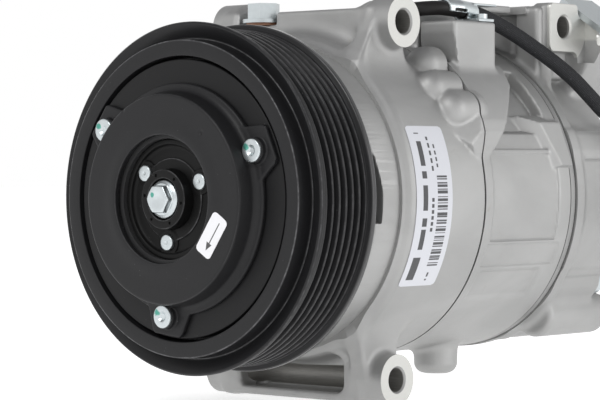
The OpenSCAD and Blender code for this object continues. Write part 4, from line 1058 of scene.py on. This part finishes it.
leadPlan = {"d": 6.0, "tubeR": 2.75, "braidFrom": 103.2, "sides": 96, "step": 0.3, "carriers": 13,
            "relief": 0.13}
leadRoute = [
    (-44.5, 19, 37.3), (-48, 19.3, 40.3), (-51.2, 22, 42.8), (-52.6, 28, 43.8), (-52.6, 37, 44),
    (-52, 48, 44.4), (-51, 58, 45.4), (-48.5, 67, 48.6), (-43, 73, 54.4), (-34.5, 76, 61),
    (-24, 77, 65.2), (-12, 77.3, 68), (2, 77.3, 69.6), (15, 77.8, 70.3), (26, 80.6, 70.9),
    (32.6, 87, 71.5), (35, 96, 71), (35.2, 103, 70.3), (35.9, 110, 69.3), (37.9, 119, 66.1),
    (40.4, 126, 62.6), (43, 132.2, 58.8), (46, 138.6, 54.5), (48.8, 144.6, 50.1), (51.6, 150, 45.4),
    (54.4, 156, 39.4), (57.2, 162.4, 33), (60.4, 169, 27.2), (63.6, 175.6, 22), (66.4, 181.6, 17),
    (68.3, 186.6, 12.6), (68.8, 189.3, 8), (68.8, 189.5, 4),
]


def smoothRoute(points, perSpan):
    p = np.array(points, float)
    out = []
    for i in range(len(p) - 1):
        a, b, c, d = p[max(i - 1, 0)], p[i], p[i + 1], p[min(i + 2, len(p) - 1)]
        for t in np.arange(perSpan) / perSpan:
            out.append(0.5 * (2 * b + (c - a) * t + (2 * a - 5 * b + 4 * c - d) * t ** 2
                              + (3 * b - a - 3 * c + d) * t ** 3))
    out.append(p[-1])
    return np.array(out)


def evenRoute(points, step):
    gone = np.concatenate([[0], np.cumsum(np.linalg.norm(np.diff(points, axis=0), axis=1))])
    marks = np.linspace(0, gone[-1], int(gone[-1] / step) + 1)
    return np.stack([np.interp(marks, gone, points[:, n]) for n in range(3)], 1), marks


def makeLead():
    plan = leadPlan
    path, marks = evenRoute(smoothRoute(leadRoute, 24), plan["step"])
    ahead = np.gradient(path, axis=0)
    ahead /= np.linalg.norm(ahead, axis=1)[:, None]
    side = np.cross(ahead, (1, -1, 1))
    side /= np.linalg.norm(side, axis=1)[:, None]
    up = np.cross(side, ahead)
    turn = np.arange(plan["sides"]) * 2 * math.pi / plan["sides"]
    braided = np.clip((path[:, 1] - plan["braidFrom"]) / 0.8, 0, 1) * (marks > 100)
    twist = marks[:, None] * plan["carriers"] / 3.0
    around = plan["carriers"] * turn[None, :]
    weave = np.sin(around + twist) * np.sin(around - twist)
    relief = np.sign(weave) * np.abs(weave) ** 0.6 * plan["relief"]
    braidR = plan["d"] / 2 - plan["relief"] + relief
    r = plan["tubeR"] * (1 - braided[:, None]) + braidR * braided[:, None]
    points = (path[:, None, :] + r[:, :, None] * (np.cos(turn)[None, :, None] * side[:, None, :]
                                                 + np.sin(turn)[None, :, None] * up[:, None, :]))
    n, m = plan["sides"], len(path)
    index = np.arange(n * m).reshape(m, n)
    ahead = np.roll(index, -1, axis=1)
    quads = np.stack([index[:-1], ahead[:-1], ahead[1:], index[1:]], -1).reshape(-1, 4).tolist()
    quads += [index[0, ::-1].tolist(), index[-1].tolist()]
    piece = meshPiece("coil_lead", points.reshape(-1, 3), quads, 70)
    for name, values in (("weave", (weave > 0) * braided[:, None]), ("braided", np.repeat(braided, n))):
        layer = piece.data.attributes.new(name, "FLOAT", "POINT")
        layer.data.foreach_set("value", values.ravel().astype(np.float32))
    return piece, path, marks[-1]


def sheathFinish():
    # plain rubber tube at first, then a braided polyester sleeve
    paint = Paint("lead_sheath")
    weave = paint.add("ShaderNodeAttribute", {"attribute_name": "weave"}, {}, "Fac")
    braided = paint.add("ShaderNodeAttribute", {"attribute_name": "braided"}, {}, "Fac")
    thread = paint.noise(4200, 2, 0.6)
    lint = paint.noise(1500, 3, 0.7).rise(0.60, 0.74)
    plain = paint.tint((0.012, 0.011, 0.011), 0.8 + 0.4 * paint.noise(260, 3, 0.6))
    sleeve = paint.mix(weave, (0.006, 0.006, 0.007), (0.026, 0.027, 0.03))
    sleeve = paint.mix(lint * 0.35, sleeve, (0.20, 0.20, 0.21))
    base = paint.mix(braided, plain, sleeve)
    return paint.done(Base_Color=base, Roughness=0.5 + 0.16 * braided - 0.1 * thread, Metallic=0.0,
                      Specular_IOR_Level=0.25,
                      Normal=paint.bump(thread * braided + (1 - braided) * lint * 0.3, 0.00008, 0.5))


clipPlan = {"y": (89.5, 104.5), "strap": 1.2, "screwAt": (41.6, 102.7), "pad": 66.5}


def clipField(p):
    # long sleeve over the tube's upper side, and the foot under its screw
    plan = clipPlan
    x = np.interp(p[1], [87, 96, 104], [32.6, 35, 35.2])
    z = np.interp(p[1], [87, 96, 104], [71.5, 71, 70.2])
    r = np.hypot(p[0] - x, p[2] - z)
    y0, y1 = plan["y"]
    band = corner(np.abs(r - 3.6) - 0.5 + 0.2, span(p[1], y0, y1, 0.2)) - 0.2
    band = trim(band, np.maximum(p[2] - z + 1.1, p[1] - 98.5), 0.3)   # open below at its front end
    tab = brick(p, (32.5, 102.5, 73.0), (38.2, 117, 73.9), 0.3)
    foot = brick(p, (36.2, 98, plan["pad"] + 0.02), (44.2, 107.4, plan["pad"] + plan["strap"]), 0.3)
    shape = melt(melt(band, tab, 0.6), np.maximum(foot, 3.1 - r), 0.8)
    window = corner(span(p[1], 91.5, 97.5, 0.45), span(p[2] - z, -0.75, 0.35, 0.45)) - 0.45
    shape = trim(shape, np.maximum(window, x + 1.5 - p[0]), 0.2)
    sx, sy = plan["screwAt"]
    return trim(shape, np.hypot(p[0] - sx, p[1] - sy) - 1.9, 0.2)


def connectorField(p):
    shape = brick(p, (62, 182, -21), (75, 197, 1), 1.1)
    shape = trim(shape, brick(p, (63.6, 183.6, -24), (73.4, 195.4, -13), 0.6), 0.3)
    for y in (186.4, 192.6):
        shape = melt(shape, brick(p, (68, y - 0.4, -20), (68.8, y + 0.4, -9), 0.2), 0.2)
    collar = brick(p, (64.9, 185.6, -1), (72.7, 193.4, 3.95), 0.9)
    shape = melt(shape, collar, 0.8)
    shape = melt(shape, brick(p, (66.5, 180.1, -14), (70.5, 184, -4), 0.6), 0.5)
    for k in range(4):
        z = -4.5 + 1.4 * k
        shape = trim(shape, brick(p, (74.6, 185, z - 0.3), (77, 194, z + 0.3), 0.1), 0.15)
    return shape


def wear(piece, material, slotName=None):
    piece.data.materials.clear()
    piece.data.materials.append(material)


def place(piece, body, nodes, material, slotName):
    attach(piece, body)
    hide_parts(*nodes)
    wear(piece, material, slotName)
    print("made", piece.name, len(piece.data.polygons), "faces")
    return piece


bareCast = castFinish("block_cast")
frontBores = [(frontPlan[a + "Y"], frontPlan[a + "Z"], frontPlan["boreR"]) for a in ("top", "low")]
frontCast = castFinish("front_cast", frontPlan["half"], frontBores, paintedPocketShade=True)
headBores = [(headPlan["rearY"], headPlan["rearZ"], headPlan["boreR"])]
headCast = castFinish("head_cast", headPlan["farX"] - 0.01, headBores)
# lighter lines on the pulley's lip, rim and rib crests, and on the cover and hub edges: painted highlight
# mixed with paint wear
grooveGlints = [(61.2, pulleyPlan["pitch"] * (i - 2.5) + s * 1.38, 0.16) for i in range(6) for s in (-1, 1)]
pulleyBlack = blackFinish("pulley_black", [(56.4, -19.8, 0.35), (57.0, -12.7, 0.7), (63.1, -15.1, 0.2),
                                           (63.1, 13.8, 0.2)] + grooveGlints, 0.30, glossyRim=True)
coverBlack = blackFinish("cover_black", [(37.3, -28.8, 0.32), (22.8, -29.3, 0.12)], 0.40)
armatureBlack = blackFinish("armature_black", (), 0.40, coat=(0.009, 0.009, 0.0095), shine=0.2)
innerBlack = blackFinish("inner_black", [(14.5, -23.5, 0.3), (10.5, -28.0, 0.2), (7.5, -28.0, 0.2)], 0.42,
                         coat=(0.006, 0.006, 0.006), shine=0.15)
zinc = zincFinish("zinc_bright")
steel = steelFinish("ground_steel")
bearingSteel = steelFinish("bearing_steel", (0.62, 0.62, 0.64), 0.16)
darkSteel = steelFinish("reed_steel", (0.05, 0.05, 0.05), 0.5)
plateGrey = castFinish("plate_grey", grey=0.36)
rubber = mouldedFinish("damper_rubber", (0.02, 0.02, 0.021), 0.62)
plastic = mouldedFinish("black_plastic", (0.024, 0.024, 0.026), 0.42)
gasketBlack = mouldedFinish("gasket_black", (0.014, 0.014, 0.014), 0.7)
cagePolymer = mouldedFinish("cage_polymer", (0.36, 0.20, 0.07), 0.5)
washerRed = mouldedFinish("washer_copper", (0.34, 0.16, 0.09), 0.4)
winding = wireFinish("winding_wire")

lead, leadPath, leadLength = makeLead()
place(lead, "housing", ["clutch_lead"], sheathFinish(), "lead_sheath")
connector = skin("lead_plug", connectorField, (61.9, 180, -21), (75.1, 197.1, 4.1), 0.35)
place(connector, "housing", ["lead_connector"], plastic, "connector_plastic")
[tuple(q * mm) for q in leadPath[::4]]
print("lead length", round(leadLength, 1))

place(makeFrontHousing(), "housing", ["front_housing"], frontCast, "cast_aluminium")
place(makeBlock(), "housing", ["cylinder_block"], bareCast, "cast_aluminium")
place(makeHead(), "housing", ["rear_head"], headCast, "cast_aluminium")
place(makePulley(), "pulley", ["pulley"], pulleyBlack, "black_paint")
place(makeArmature(), "armature", ["armature_plate"], armatureBlack, "black_paint")
place(makeCover(), "armature", ["damper_cover"], coverBlack, "black_paint")
place(makeInner(), "shaft", ["inner_plate"], innerBlack, "black_paint")
place(makeHub(), "shaft", ["hub"], innerBlack, "black_paint")
bigDye = [(x - 2.3, -24.2, z + 1.3, 1.4) for x, z in rivets["big"]]
big = rivetHeads("big_rivets", rivets["big"], -23.15, 4.15, 1.1, 2.58, -14.8, (2.0, 0.8))
place(big, "armature", ["armature_rivets"], zincFinish("zinc_dyed", dye=bigDye), "zinc_plated")
small = rivetHeads("small_rivets", rivets["small"], -23.5, 2.95, 1.3, 1.58, -19.4, (0.8, 0.12))
place(small, "shaft", ["hub_rivets"], zinc, "zinc_plated")
bolt = hexHead("hub_bolt", 9.3, -31.08, -28.3, 6.7, -25.5, 2.5, -4.5, 0.22)
place(bolt, "shaft", ["centre_bolt"], zincFinish("zinc_bolt", dye=[(-2.4, -31, 1.6, 1.0)]), "zinc_plated")
rating = filmPatch("rating_film", labelPlan, ratingPlace, (120, 40))
place(rating, "housing", ["rating_label"], ratingFinish(), "label_film")
arrow = filmPatch("arrow_film", arrowPlan, arrowPlace)
place(arrow, "armature", ["turn_arrow_label"], arrowFinish(), "label_film")
clip = skin("lead_clip_strap", clipField, (28.5, 89, 66.4), (44.4, 117.3, 75.8), 0.3)
place(clip, "housing", ["lead_clip"], zinc, "zinc_plated")

# the CAD's own nodes that stay in sight or inside
kept = [
    (zinc, "through_bolts control_valve relief_valve oil_plug port_cover port_cover_bolt clip_screw"),
    (zinc, "connector_bracket bracket_screw"),
    (steel, "reed_retainer lug_plate swash_plate return_spring seal_snap_ring coil_snap_ring"),
    (steel, "bearing_snap_ring adjusting_shim"),
    (bearingSteel, "piston_shoes drive_shaft hinge_pin thrust_bearing front_needle_bearing"),
    (bearingSteel, "rear_needle_bearing bearing_inner_race bearing_balls bearing_outer_race"),
    (darkSteel, "suction_reed_sheet discharge_reed_sheet"), (plateGrey, "valve_plate"),
    (bareCast, "pistons"), (gasketBlack, "crankcase_gasket head_gasket"), (rubber, "shaft_seal damper_rubber"),
    (plastic, "coil_cup lead_gland"), (winding, "coil_winding"), (cagePolymer, "ball_cage"),
    (washerRed, "oil_plug_washer"),
]
for finish, names in kept:
    for node in names.split():
        wear(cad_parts[node], finish)

floorMesh = bpy.data.meshes.new("floor")
floorMesh.from_pydata([(-6, -6, 0), (6, -6, 0), (6, 6, 0), (-6, 6, 0)], [], [(0, 1, 2, 3)])
floor = added("floor", floorMesh)
floor.location = (0, 0, cadBox[0][2] - 0.0005)   # just under the foot
floorPaint = Paint("floor_white")
floor.data.materials.append(floorPaint.done(Base_Color=(0.9, 0.9, 0.9, 1), Roughness=0.9,
                                            Emission_Color=(1, 1, 1, 1), Emission_Strength=0.6))

# pale all round at the level of the object, darker overhead
sky = Paint("studio", world=True)
stops = [(0.30, (1, 1, 1)), (0.75, (0.30, 0.30, 0.31))]
shade = sky.add("ShaderNodeValToRGB", {"stops": stops}, [sky.z], "Color")
glow = sky.add("ShaderNodeBackground", {}, {"Color": shade, "Strength": 1.0}, "Background")
sky.add("ShaderNodeOutputWorld", {}, [glow], None)
bpy.context.scene.world = sky.material
bpy.context.scene.view_settings.view_transform = "Standard"


def softLight(name, place, aim, size, power):
    data = bpy.data.lights.new(name, "AREA")
    data.shape = "RECTANGLE"
    data.size, data.size_y = size
    data.energy = power
    lamp = added(name, data)
    lamp.location = place
    lamp.rotation_euler = facing(place, aim)


softLight("key", (0.1, -0.9, 0.8), (0, 0.05, 0), (0.7, 0.5), 5)       # metres and watts
softLight("side", (1.1, 0.5, 0.3), (0, 0.08, 0), (0.6, 0.8), 3)
